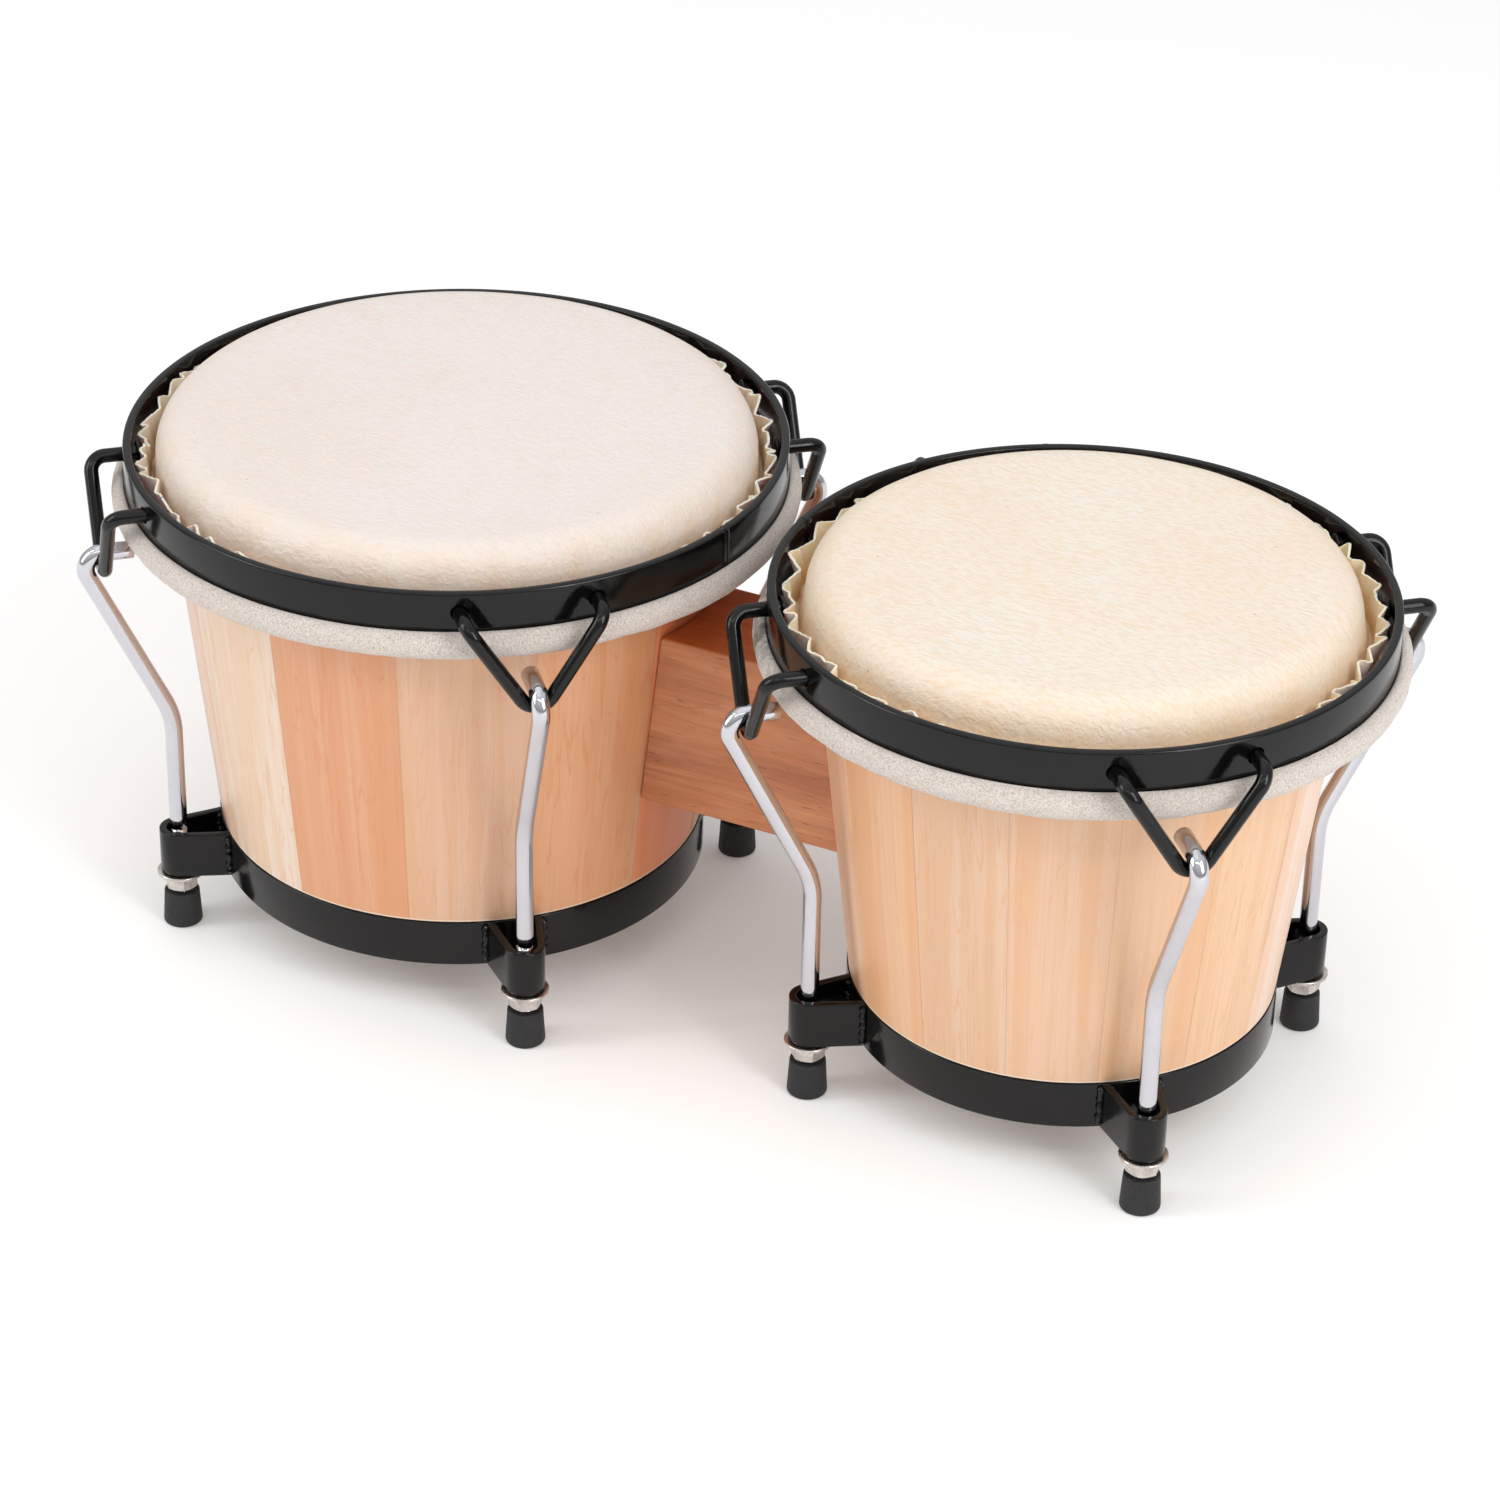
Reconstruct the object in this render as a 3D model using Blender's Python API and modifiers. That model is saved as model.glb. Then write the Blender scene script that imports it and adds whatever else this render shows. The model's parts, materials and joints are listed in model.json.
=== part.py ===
"""Bongo drums: a large and a small drum on a wooden centre block.

Metres, +Z up. The origin is on the floor, at the middle of the bounding box, and +X runs along
the block from the large drum to the small one. Run it in Blender 4.5.
"""

import math

import bmesh
import bpy
import numpy as np
from mathutils import Matrix, Vector

# ---------------------------------------------------------------- driving dimensions
MM = 0.001
DRUM_SPACING = 225 * MM        # between the two drums' axes
LUG_COUNT = 4
FIRST_LUG = math.radians(41.3)  # azimuth of each drum's lug 1; the others follow every 90 degrees

# Each drum: outer radii of its hoop, its skin's crown and its bottom ring.
DRUMS = {
    "large": {"side": -1, "hoop_r": 110.0 * MM, "crown_r": 99.4 * MM, "ring_r": 83.3 * MM},
    "small": {"side": 1, "hoop_r": 99.5 * MM, "crown_r": 87.6 * MM, "ring_r": 70.5 * MM},
}

CROWN_TOP = 185.0 * MM         # top of the skins
CROWN_ROUND = 12.0 * MM        # radius of the skin's rounded edge
SKIN_THICK = 1.4 * MM
SKIRT_INSET = 9.9 * MM         # from the hoop's outer radius to the foot of the skin's skirt
TUCK_TOP = 177.5 * MM          # top of the skin's tucked edge
TUCK_FLOOR = 161.9 * MM        # underside of the gutter between skirt and tucked edge
TUCK_INSET = 7.4 * MM          # from the hoop's outer radius to the tucked edge's
FIT_GAP = 0.5 * MM             # skin to shell

HOOP_TOP = 177.0 * MM
HOOP_HEIGHT = 17.5 * MM
HOOP_WALL = 2.9 * MM
ROLL_OUT = 4.2 * MM            # how far the flesh hoop's roll stands out past the hoop
ROLL_RADIUS = 5.4 * MM
ROLL_Z = 159.0 * MM
SEAT_ANGLE = 28                # degrees up the roll's side at which its flat top starts
TOUCH_GAP = 0.3 * MM           # between pieces that bear on each other

WIRE_R = 2.4 * MM              # hook loop
WIRE_HEAD_R = 3.8 * MM
WIRE_HEAD = 1.3 * MM           # thickness of the heads inside the hoop
STEP_LENGTH = 0.1 * MM         # over which a wire's or a bolt's radius changes
WIRE_HOLE_R = 2.9 * MM
WIRE_HOLE_Z = 170.0 * MM
WIRE_SPREAD = 22.0 * MM        # from the lug's plane to each hole
LOOP_OUT = 9.0 * MM            # from the hoop's outer radius to the V's plane
LOOP_BOTTOM = 140.2 * MM
LOOP_BEND = 5.0 * MM           # centre-line radius of the loop's bends

ROD_R = 3.0 * MM
HOOK_GAP = 0.5 * MM            # rod to loop
HOOK_BEND = WIRE_R + ROD_R + HOOK_GAP
STUB_LENGTH = 10.0 * MM        # straight end of the hook, pointing at the drum
CRANK_Z = 81.5 * MM            # where the slanting and the upright stretch would meet
CRANK_BEND = 30.0 * MM
ROD_BOTTOM = 5.0 * MM
ROD_OUT = 15.3 * MM            # from the bottom ring's outer radius to the rods' axes

RING_TOP = 37.5 * MM
RING_BOTTOM = 21.0 * MM
RING_WALL = 1.5 * MM
EAR_WALL = 2.6 * MM
EAR_NOSE = 6.7 * MM            # outer radius of the ear's nose
EAR_SPREAD = 9.5 * MM          # half the ear's outer width where it meets the ring

SHELL_BOTTOM = 21.5 * MM
SHELL_WALL = 9.3 * MM
SHELL_TAPER = 1.0 * MM         # how much thicker its wall is at the top
SHELL_IN_RING = 0.3 * MM       # between shell and ring
RING_SHOW = 0.4 * MM           # how far the ring stands out past the shell above it
EDGE_DROP = 1.5 * MM           # from the bearing edge's crest to its inner corner

WASHER = {"inner": 3.4 * MM, "outer": 8.0 * MM, "bottom": 19.5 * MM, "top": 20.7 * MM}
NUT = {"bore": 3.35 * MM, "flats": 10.0 * MM, "bottom": 14.2 * MM, "top": 19.2 * MM}
FOOT = {"bottom_r": 6.7 * MM, "top_r": 5.95 * MM, "top": 12.8 * MM, "bore": 3.35 * MM}
FOOT_ROUND = 1.0 * MM

BLOCK_WIDTH = 41.6 * MM
BLOCK_Y = -6.2 * MM            # the block's middle, a little in front of the line between the axes
BLOCK_BOTTOM = 73.3 * MM
BLOCK_TOP = 136.4 * MM
BLOCK_EDGE = 1.0 * MM
BOLT_HEIGHTS = {"upper": 123.0 * MM, "lower": 87.0 * MM}
BOLT = {"r": 2.9 * MM, "head_r": 5.0 * MM, "head": 5.0 * MM, "into_block": 20.0 * MM}
BOLT_HOLE_R = 3.3 * MM
BOLT_WASHER = {"outer": 8.0 * MM, "thick": 1.4 * MM}

BIG_STEPS = 40                 # sides of the drum-sized turned pieces
SMALL_STEPS = 12               # sides of the hardware
HOLE_STEPS = 12                # sides of the hoop's holes
SPARE = 5.0 * MM               # how far cutters reach past what they cut

half_length = (DRUM_SPACING + sum(drum["hoop_r"] + ROLL_OUT for drum in DRUMS.values())) / 2
for drum in DRUMS.values():
    drum["x"] = drum["side"] * (half_length - drum["hoop_r"] - ROLL_OUT)
    drum["rod_r"] = drum["ring_r"] + ROD_OUT
    drum["loop_r"] = drum["hoop_r"] + LOOP_OUT
    drum["shell_top_r"] = drum["crown_r"] - SKIN_THICK - FIT_GAP
    drum["shell_foot_r"] = drum["ring_r"] - RING_SHOW
    drum["in_ring_r"] = drum["ring_r"] - RING_WALL - SHELL_IN_RING

# ---------------------------------------------------------------- scene and materials
for old in list(bpy.data.objects):
    bpy.data.objects.remove(old, do_unlink=True)


def new_collection(name):
    collection = bpy.data.collections.new(name)
    bpy.context.scene.collection.children.link(collection)
    return collection


PARTS = new_collection("bongo_drums")
CUTTERS = new_collection("cutters")


def material(name, color, roughness, metallic=0.0):
    made = bpy.data.materials.new(name)
    made.use_nodes = True
    shader = made.node_tree.nodes["Principled BSDF"]
    shader.inputs["Base Color"].default_value = (*color, 1.0)
    shader.inputs["Roughness"].default_value = roughness
    shader.inputs["Metallic"].default_value = metallic
    made.diffuse_color = (*color, 1.0)
    return made


WOOD = material("shell_wood", (0.72, 0.43, 0.24), 0.4)
BLOCK_WOOD = material("block_wood", (0.43, 0.17, 0.08), 0.45)
HIDE = material("hide", (0.80, 0.72, 0.58), 0.6)
ROLLED_HIDE = material("rolled_hide", (0.68, 0.63, 0.55), 0.9)
BLACK_STEEL = material("black_steel", (0.012, 0.011, 0.011), 0.35)
CHROME = material("chrome", (0.80, 0.80, 0.82), 0.08, 1.0)
PLATED_STEEL = material("plated_steel", (0.55, 0.52, 0.50), 0.3, 1.0)
RUBBER = material("rubber", (0.015, 0.015, 0.016), 0.7)


def place(name, mesh, finish, location=(0, 0, 0), turn=0.0):
    """An object from a mesh, at its place, in the collection of parts."""
    made = bpy.data.objects.new(name, mesh)
    made.location = location
    made.rotation_euler.z = turn
    if not made.data.materials:
        made.data.materials.append(finish)
    PARTS.objects.link(made)
    return made


def as_cutter(made):
    PARTS.objects.unlink(made)
    CUTTERS.objects.link(made)
    made.hide_render = True
    made.display_type = "WIRE"
    return made


def boolean(target, other, operation):
    modifier = target.modifiers.new(other.name, "BOOLEAN")
    modifier.object = other
    modifier.operation = operation
    modifier.solver = "EXACT"


def shade_smooth(made, sharp_over=35):
    made.data.shade_smooth()
    made.data.set_sharp_from_angle(angle=math.radians(sharp_over))


# ---------------------------------------------------------------- shapes
def arc(centre, radius, start, end, count):
    """Points (x, z) on an arc, from the angle start to end in degrees."""
    angles = np.radians(np.linspace(start, end, count))
    return [(centre[0] + radius * math.cos(a), centre[1] + radius * math.sin(a)) for a in angles]


def turned(name, profile, finish, location, steps, closed=True):
    """A profile of (radius, height) points, down its outer side, turned about the local Z axis."""
    mesh = bpy.data.meshes.new(name)
    shape = bmesh.new()
    corners = [shape.verts.new((r, 0, z)) for r, z in profile]
    for a, b in zip(corners, corners[1:]):
        shape.edges.new((a, b))
    if closed:
        shape.edges.new((corners[-1], corners[0]))
    shape.to_mesh(mesh)
    shape.free()
    made = place(name, mesh, finish, location)
    screw = made.modifiers.new("turn", "SCREW")
    screw.steps = screw.render_steps = steps
    screw.use_merge_vertices = True
    screw.merge_threshold = 0.00001
    screw.use_smooth_shade = True
    return made


def wire(name, points, radii, wire_r, finish, location, turn, sides_level=2):
    """A round wire through the points, with a radius factor at each."""
    curve = bpy.data.curves.new(name, "CURVE")
    curve.dimensions = "3D"
    curve.bevel_depth = wire_r
    curve.bevel_resolution = sides_level
    curve.use_fill_caps = True
    curve.twist_mode = "MINIMUM"
    spline = curve.splines.new("POLY")
    spline.points.add(len(points) - 1)
    for point, place_at, factor in zip(spline.points, points, radii):
        point.co = (*place_at, 1)
        point.radius = factor
    spline.use_smooth = True
    return place(name, curve, finish, location, turn)


def bent(corners, radii, count):
    """A path through 3-D corners, with each inner corner rounded to its own radius."""
    corners = [np.array(corner, float) for corner in corners]
    path = [corners[0]]
    for before, corner, after, radius in zip(corners, corners[1:], corners[2:], radii):
        arriving = (corner - before) / np.linalg.norm(corner - before)
        leaving = (after - corner) / np.linalg.norm(after - corner)
        angle = math.acos(np.clip(arriving @ leaving, -1, 1))
        inward = (leaving - arriving) / np.linalg.norm(leaving - arriving)
        centre = corner + inward * radius / math.cos(angle / 2)
        start = corner - arriving * radius * math.tan(angle / 2)
        across = (start - centre) / radius
        for step in np.linspace(0, angle, count):
            path.append(centre + radius * (math.cos(step) * across + math.sin(step) * arriving))
    path.append(corners[-1])
    return path


def cylinder(name, radius, low, high, finish, axis="Z", location=(0, 0, 0), sides=SMALL_STEPS):
    """A cylinder along Z or X, from low to high along its axis."""
    mesh = bpy.data.meshes.new(name)
    shape = bmesh.new()
    bmesh.ops.create_cone(
        shape, cap_ends=True, segments=sides, radius1=radius, radius2=radius, depth=high - low
    )
    bmesh.ops.translate(shape, verts=shape.verts, vec=(0, 0, (low + high) / 2))
    if axis == "X":
        onto_x = Matrix.Rotation(math.pi / 2, 3, "Y")
        bmesh.ops.rotate(shape, verts=shape.verts, cent=(0, 0, 0), matrix=onto_x)
    shape.to_mesh(mesh)
    shape.free()
    return place(name, mesh, finish, location)


def lug_angles():
    return [FIRST_LUG + k * 2 * math.pi / LUG_COUNT for k in range(LUG_COUNT)]


# ---------------------------------------------------------------- one drum
def shell_radius(drum, z):
    """Outer radius of the shell's cone at a height above the bottom ring."""
    share = (z - RING_TOP) / (CROWN_TOP - CROWN_ROUND - RING_TOP)
    return drum["shell_foot_r"] + share * (drum["shell_top_r"] - drum["shell_foot_r"])


def make_shell(size, drum):
    """A turned cone with a rounded bearing edge, a rebate for the ring and two holes for bolts."""
    top_round = CROWN_ROUND - SKIN_THICK - FIT_GAP
    centre = (drum["crown_r"] - CROWN_ROUND, CROWN_TOP - CROWN_ROUND)
    inner_top = drum["shell_top_r"] - SHELL_WALL - SHELL_TAPER
    profile = arc(centre, top_round, 90, 0, 5)
    profile += [
        (drum["shell_foot_r"], RING_TOP + TOUCH_GAP),
        (drum["in_ring_r"], RING_TOP + TOUCH_GAP),
        (drum["in_ring_r"], SHELL_BOTTOM),
        (drum["shell_foot_r"] - SHELL_WALL, SHELL_BOTTOM),
        (inner_top, CROWN_TOP - CROWN_ROUND),
        (inner_top, centre[1] + top_round - EDGE_DROP),
    ]
    shell = turned(f"{size}_shell", profile, WOOD, (drum["x"], 0, 0), BIG_STEPS)
    inward = -drum["side"]
    span = sorted(inward * r for r in (drum["ring_r"] / 2, drum["hoop_r"]))
    for height, z in BOLT_HEIGHTS.items():
        name, spot = f"cut_{size}_shell_{height}", (drum["x"], BLOCK_Y, z)
        hole = cylinder(name, BOLT_HOLE_R, *span, WOOD, "X", spot)
        boolean(shell, as_cutter(hole), "DIFFERENCE")


def make_skin(size, drum):
    """The head: a thin crown over the bearing edge, a skirt, and the edge tucked up inside the hoop."""
    crown_r, round_z = drum["crown_r"], CROWN_TOP - CROWN_ROUND
    centre = (crown_r - CROWN_ROUND, round_z)
    tuck_r = drum["hoop_r"] - TUCK_INSET
    skirt_r, gutter = drum["hoop_r"] - SKIRT_INSET, TUCK_FLOOR + SKIN_THICK
    profile = [(0, CROWN_TOP)] + arc(centre, CROWN_ROUND, 90, 0, 5)
    profile += [
        (skirt_r, gutter),
        (tuck_r - SKIN_THICK, gutter),
        (tuck_r - SKIN_THICK, TUCK_TOP),
        (tuck_r, TUCK_TOP),
        (tuck_r, TUCK_FLOOR),
        (skirt_r - SKIN_THICK, TUCK_FLOOR),
    ]
    profile += arc(centre, CROWN_ROUND - SKIN_THICK, 0, 90, 5)
    profile += [(0, CROWN_TOP - SKIN_THICK)]
    turned(f"{size}_skin", profile, HIDE, (drum["x"], 0, 0), BIG_STEPS, closed=False)


def make_hoop(size, drum):
    """A flat band with a rounded top edge and two holes at each lug."""
    outer, bottom = drum["hoop_r"], HOOP_TOP - HOOP_HEIGHT
    edge = HOOP_WALL / 2
    profile = arc((outer - edge, HOOP_TOP - edge), edge, 180, 0, 4)
    profile += [(outer, bottom), (outer - HOOP_WALL, bottom)]
    hoop = turned(f"{size}_hoop", profile, BLACK_STEEL, (drum["x"], 0, 0), BIG_STEPS)
    mesh = bpy.data.meshes.new(f"cut_{size}_hoop_holes")
    shape = bmesh.new()
    for angle in lug_angles():
        for side in (-1, 1):
            along_x = Matrix.Rotation(math.pi / 2, 4, "Y")
            spot = Matrix.Translation((outer, side * WIRE_SPREAD, WIRE_HOLE_Z))
            bmesh.ops.create_cone(
                shape,
                cap_ends=True,
                segments=HOLE_STEPS,
                radius1=WIRE_HOLE_R,
                radius2=WIRE_HOLE_R,
                depth=4 * SPARE,
                matrix=Matrix.Rotation(angle, 4, "Z") @ spot @ along_x,
            )
    shape.to_mesh(mesh)
    shape.free()
    holes = place(mesh.name, mesh, BLACK_STEEL, (drum["x"], 0, 0))
    boolean(hoop, as_cutter(holes), "DIFFERENCE")


def make_flesh_hoop(size, drum):
    """The hide-wrapped ring: a round roll with a seat in its top for the hoop's lower edge."""
    hoop_r, seat = drum["hoop_r"], HOOP_TOP - HOOP_HEIGHT - TOUCH_GAP
    centre = (hoop_r + ROLL_OUT - ROLL_RADIUS, ROLL_Z)
    profile = arc(centre, ROLL_RADIUS, SEAT_ANGLE, -180 - SEAT_ANGLE, 8)
    lip_z = profile[0][1]
    profile += [
        (hoop_r - HOOP_WALL - TOUCH_GAP, lip_z),
        (hoop_r - HOOP_WALL - TOUCH_GAP, seat),
        (hoop_r + TOUCH_GAP, seat),
        (hoop_r + TOUCH_GAP, lip_z),
    ]
    turned(f"{size}_flesh_hoop", profile, ROLLED_HIDE, (drum["x"], 0, 0), BIG_STEPS)


def make_hook_loops(size, drum):
    """V-shaped wires through the hoop, each in the plane of its lug, with headed ends inside."""
    facet_r = (drum["hoop_r"] - HOOP_WALL) * math.cos(math.pi / BIG_STEPS)
    inner_face = math.sqrt(facet_r**2 - WIRE_SPREAD**2)
    head_out = inner_face - TOUCH_GAP - WIRE_HEAD_R * WIRE_SPREAD / drum["hoop_r"]
    head_in = head_out - WIRE_HEAD
    out = drum["loop_r"]
    rise = WIRE_HOLE_Z - LOOP_BOTTOM - HOOK_BEND
    half_angle = math.atan2(WIRE_SPREAD, rise) - math.asin(HOOK_BEND / math.hypot(WIRE_SPREAD, rise))
    bottom = WIRE_HOLE_Z - WIRE_SPREAD / math.tan(half_angle)
    corners = [
        (head_out + STEP_LENGTH, -WIRE_SPREAD, WIRE_HOLE_Z),
        (out, -WIRE_SPREAD, WIRE_HOLE_Z),
        (out, 0, bottom),
        (out, WIRE_SPREAD, WIRE_HOLE_Z),
        (head_out + STEP_LENGTH, WIRE_SPREAD, WIRE_HOLE_Z),
    ]
    path = bent(corners, (LOOP_BEND, HOOK_BEND, LOOP_BEND), 4)
    head = WIRE_HEAD_R / WIRE_R
    first = [(x, -WIRE_SPREAD, WIRE_HOLE_Z) for x in (head_in, head_out)]
    last = [(x, WIRE_SPREAD, WIRE_HOLE_Z) for x in (head_out, head_in)]
    points = first + path + last
    radii = [head, head] + [1.0] * len(path) + [head, head]
    for number, angle in enumerate(lug_angles(), 1):
        name = f"{size}_hook_loop_{number}"
        wire(name, points, radii, WIRE_R, BLACK_STEEL, (drum["x"], 0, 0), angle)


def rod_path(drum):
    """The rod's centre line: stub, hook round the loop's foot, slant, crank and upright."""
    hook = np.array([drum["loop_r"], LOOP_BOTTOM])
    crank = np.array([drum["rod_r"], CRANK_Z])
    reach = hook - crank
    slant = math.atan2(reach[0], reach[1]) + math.asin(HOOK_BEND / np.linalg.norm(reach))
    path = [(hook[0] - STUB_LENGTH, hook[1] + HOOK_BEND)]
    path += arc(hook, HOOK_BEND, 90, -math.degrees(slant), 6)
    corners = [(*path[-1], 0), (*crank, 0), (drum["rod_r"], ROD_BOTTOM, 0)]
    path += [(x, z) for x, z, _ in bent(corners, (CRANK_BEND,), 4)[1:]]
    return [(x, 0, z) for x, z in path]


def make_rods(size, drum):
    points = rod_path(drum)
    for number, angle in enumerate(lug_angles(), 1):
        name = f"{size}_tension_rod_{number}"
        wire(name, points, [1.0] * len(points), ROD_R, CHROME, (drum["x"], 0, 0), angle)


def make_bottom_ring(size, drum):
    """A band with four strap ears, each a bent strip welded to it and open for the rod."""
    outer, inner = drum["ring_r"], drum["ring_r"] - RING_WALL
    profile = [(outer, RING_TOP), (outer, RING_BOTTOM), (inner, RING_BOTTOM), (inner, RING_TOP)]
    ring = turned(f"{size}_bottom_ring", profile, BLACK_STEEL, (drum["x"], 0, 0), BIG_STEPS)
    nose = EAR_NOSE - EAR_WALL / 2
    foot = (outer - RING_WALL / 2, EAR_SPREAD - EAR_WALL / 2)
    lean = math.degrees(math.atan2(foot[1] - nose, drum["rod_r"] - foot[0]))
    strip = [foot, *arc((drum["rod_r"], 0), nose, 90 - lean, lean - 90, 9), (foot[0], -foot[1])]
    mesh = bpy.data.meshes.new(f"{size}_ear_straps")
    shape = bmesh.new()
    for angle in lug_angles():
        turn = Matrix.Rotation(angle, 3, "Z")
        low = [shape.verts.new(turn @ Vector((x, y, RING_BOTTOM))) for x, y in strip]
        edges = [shape.edges.new(pair) for pair in zip(low, low[1:])]
        grown = bmesh.ops.extrude_edge_only(shape, edges=edges)
        raised = [made for made in grown["geom"] if isinstance(made, bmesh.types.BMVert)]
        bmesh.ops.translate(shape, verts=raised, vec=(0, 0, RING_TOP - RING_BOTTOM))
    bmesh.ops.recalc_face_normals(shape, faces=shape.faces)
    shape.to_mesh(mesh)
    shape.free()
    straps = as_cutter(place(mesh.name, mesh, BLACK_STEEL, (drum["x"], 0, 0)))
    thicken = straps.modifiers.new("thickness", "SOLIDIFY")
    thicken.thickness = EAR_WALL
    thicken.offset = 0
    thicken.use_even_offset = True
    boolean(ring, straps, "UNION")


def at_lug(drum, angle):
    return (drum["x"] + drum["rod_r"] * math.cos(angle), drum["rod_r"] * math.sin(angle), 0)


def make_lug_hardware(size, drum):
    """The washer, nut and foot on each rod."""
    washer_profile = [
        (WASHER["outer"], WASHER["top"]),
        (WASHER["outer"], WASHER["bottom"]),
        (WASHER["inner"], WASHER["bottom"]),
        (WASHER["inner"], WASHER["top"]),
    ]
    bore_floor = ROD_BOTTOM - TOUCH_GAP
    foot_profile = [(0, bore_floor), (FOOT["bore"], bore_floor), (FOOT["bore"], FOOT["top"])]
    foot_profile += [(FOOT["top_r"], FOOT["top"])]
    foot_profile += arc((FOOT["bottom_r"] - FOOT_ROUND, FOOT_ROUND), FOOT_ROUND, 0, -90, 3)
    foot_profile += [(0, 0)]
    corner_r = NUT["flats"] / 2 / math.cos(math.pi / 6)
    for number, angle in enumerate(lug_angles(), 1):
        spot = at_lug(drum, angle)
        turned(f"{size}_washer_{number}", washer_profile, PLATED_STEEL, spot, SMALL_STEPS)
        turned(f"{size}_foot_{number}", foot_profile, RUBBER, spot, SMALL_STEPS, closed=False)
        span = (NUT["bottom"], NUT["top"])
        nut = cylinder(f"{size}_nut_{number}", corner_r, *span, PLATED_STEEL, "Z", spot, 6)
        nut.rotation_euler.z = angle
        span = (NUT["bottom"] - SPARE, NUT["top"] + SPARE)
        name = f"cut_{size}_nut_{number}"
        bore = cylinder(name, NUT["bore"], *span, PLATED_STEEL, "Z", spot)
        boolean(nut, as_cutter(bore), "DIFFERENCE")


# ---------------------------------------------------------------- block between the drums
def make_block():
    """A wooden block with both ends scribed to the shells' cones, and blind holes for the bolts."""
    mesh = bpy.data.meshes.new("centre_block")
    shape = bmesh.new()
    bmesh.ops.create_cube(shape, size=1)
    height = BLOCK_TOP - BLOCK_BOTTOM
    bmesh.ops.scale(shape, verts=shape.verts, vec=(DRUM_SPACING, BLOCK_WIDTH, height))
    shape.to_mesh(mesh)
    shape.free()
    middle = (DRUMS["large"]["x"] + DRUMS["small"]["x"]) / 2
    block = place("centre_block", mesh, BLOCK_WOOD, (middle, BLOCK_Y, BLOCK_BOTTOM + height / 2))
    edges = block.modifiers.new("edges", "BEVEL")
    edges.width = BLOCK_EDGE
    edges.segments = 1
    for size, drum in DRUMS.items():
        low, high = BLOCK_BOTTOM - SPARE, BLOCK_TOP + SPARE
        cone = bpy.data.meshes.new(f"cut_block_{size}")
        shape = bmesh.new()
        bmesh.ops.create_cone(
            shape,
            cap_ends=True,
            segments=BIG_STEPS,
            radius1=shell_radius(drum, low) + TOUCH_GAP,
            radius2=shell_radius(drum, high) + TOUCH_GAP,
            depth=high - low,
        )
        # The turned shell has a corner at its first step, so the cone gets one there too.
        corner = max(shape.verts, key=lambda vertex: vertex.co.x)
        turn = Matrix.Rotation(-math.atan2(corner.co.y, corner.co.x), 3, "Z")
        bmesh.ops.rotate(shape, verts=shape.verts, cent=(0, 0, 0), matrix=turn)
        shape.to_mesh(cone)
        shape.free()
        cutter = place(cone.name, cone, BLOCK_WOOD, (drum["x"], 0, (low + high) / 2))
        boolean(block, as_cutter(cutter), "DIFFERENCE")
        for height_name, z in BOLT_HEIGHTS.items():
            span = sorted(-drum["side"] * r for r in (drum["ring_r"] / 2, bolt_end(drum) + MM))
            name, spot = f"cut_block_{size}_{height_name}", (drum["x"], BLOCK_Y, z)
            hole = cylinder(name, BOLT_HOLE_R, *span, BLOCK_WOOD, "X", spot)
            boolean(block, as_cutter(hole), "DIFFERENCE")


def bolt_end(drum):
    """How far from the drum's axis its bolts reach."""
    return shell_radius(drum, BOLT_HEIGHTS["upper"]) + BOLT["into_block"]


def washer_face(drum, z):
    """How far from the drum's axis a flat washer can lie before it meets the curved inner wall."""
    lowest = z - BOLT_WASHER["outer"]
    farthest = abs(BLOCK_Y) + BOLT_WASHER["outer"]
    inner_foot = drum["shell_foot_r"] - SHELL_WALL
    inner_top = drum["shell_top_r"] - SHELL_WALL - SHELL_TAPER
    share = (lowest - SHELL_BOTTOM) / (CROWN_TOP - CROWN_ROUND - SHELL_BOTTOM)
    wall = inner_foot + share * (inner_top - inner_foot)
    facet = wall * math.cos(math.pi / BIG_STEPS)
    return math.sqrt(facet**2 - farthest**2) - TOUCH_GAP


def make_block_bolts(size, drum):
    """Two bolts from inside the shell into the block, each with its washer."""
    inward = -drum["side"]
    for height, z in BOLT_HEIGHTS.items():
        face = washer_face(drum, z)
        spot = (drum["x"], BLOCK_Y, z)
        span = sorted(inward * r for r in (face - BOLT_WASHER["thick"], face))
        name = f"block_washer_{size}_{height}"
        washer = cylinder(name, BOLT_WASHER["outer"], *span, PLATED_STEEL, "X", spot)
        span = sorted(inward * r for r in (face - SPARE, face + SPARE))
        hole = cylinder(f"cut_{name}", BOLT_HOLE_R, *span, PLATED_STEEL, "X", spot)
        boolean(washer, as_cutter(hole), "DIFFERENCE")
        head_at = face - BOLT_WASHER["thick"] - TOUCH_GAP
        ends = [head_at - BOLT["head"], head_at, head_at, bolt_end(drum)]
        radii = [BOLT["head_r"] / BOLT["r"]] * 2 + [1.0] * 2
        ends[2] += STEP_LENGTH
        points = [(inward * r, 0, 0) for r in ends]
        wire(f"block_bolt_{size}_{height}", points, radii, BOLT["r"], PLATED_STEEL, spot, 0.0)


# ---------------------------------------------------------------- assembly
for size, drum in DRUMS.items():
    make_shell(size, drum)
    make_skin(size, drum)
    make_hoop(size, drum)
    make_flesh_hoop(size, drum)
    make_hook_loops(size, drum)
    make_rods(size, drum)
    make_bottom_ring(size, drum)
    make_lug_hardware(size, drum)
    make_block_bolts(size, drum)
make_block()

for made in PARTS.objects:
    if made.type == "MESH" and len(made.data.polygons):
        shade_smooth(made)
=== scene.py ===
"""Looks of the bongo drums over their CAD model: metres, +Z up, +X from the large drum to the small one."""

import json
from math import acos, asin, atan2, ceil, cos, degrees, hypot, pi, radians, sin, sqrt, tan
from types import SimpleNamespace

import bpy
import numpy as np
from mathutils import Matrix, Vector, noise


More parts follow.
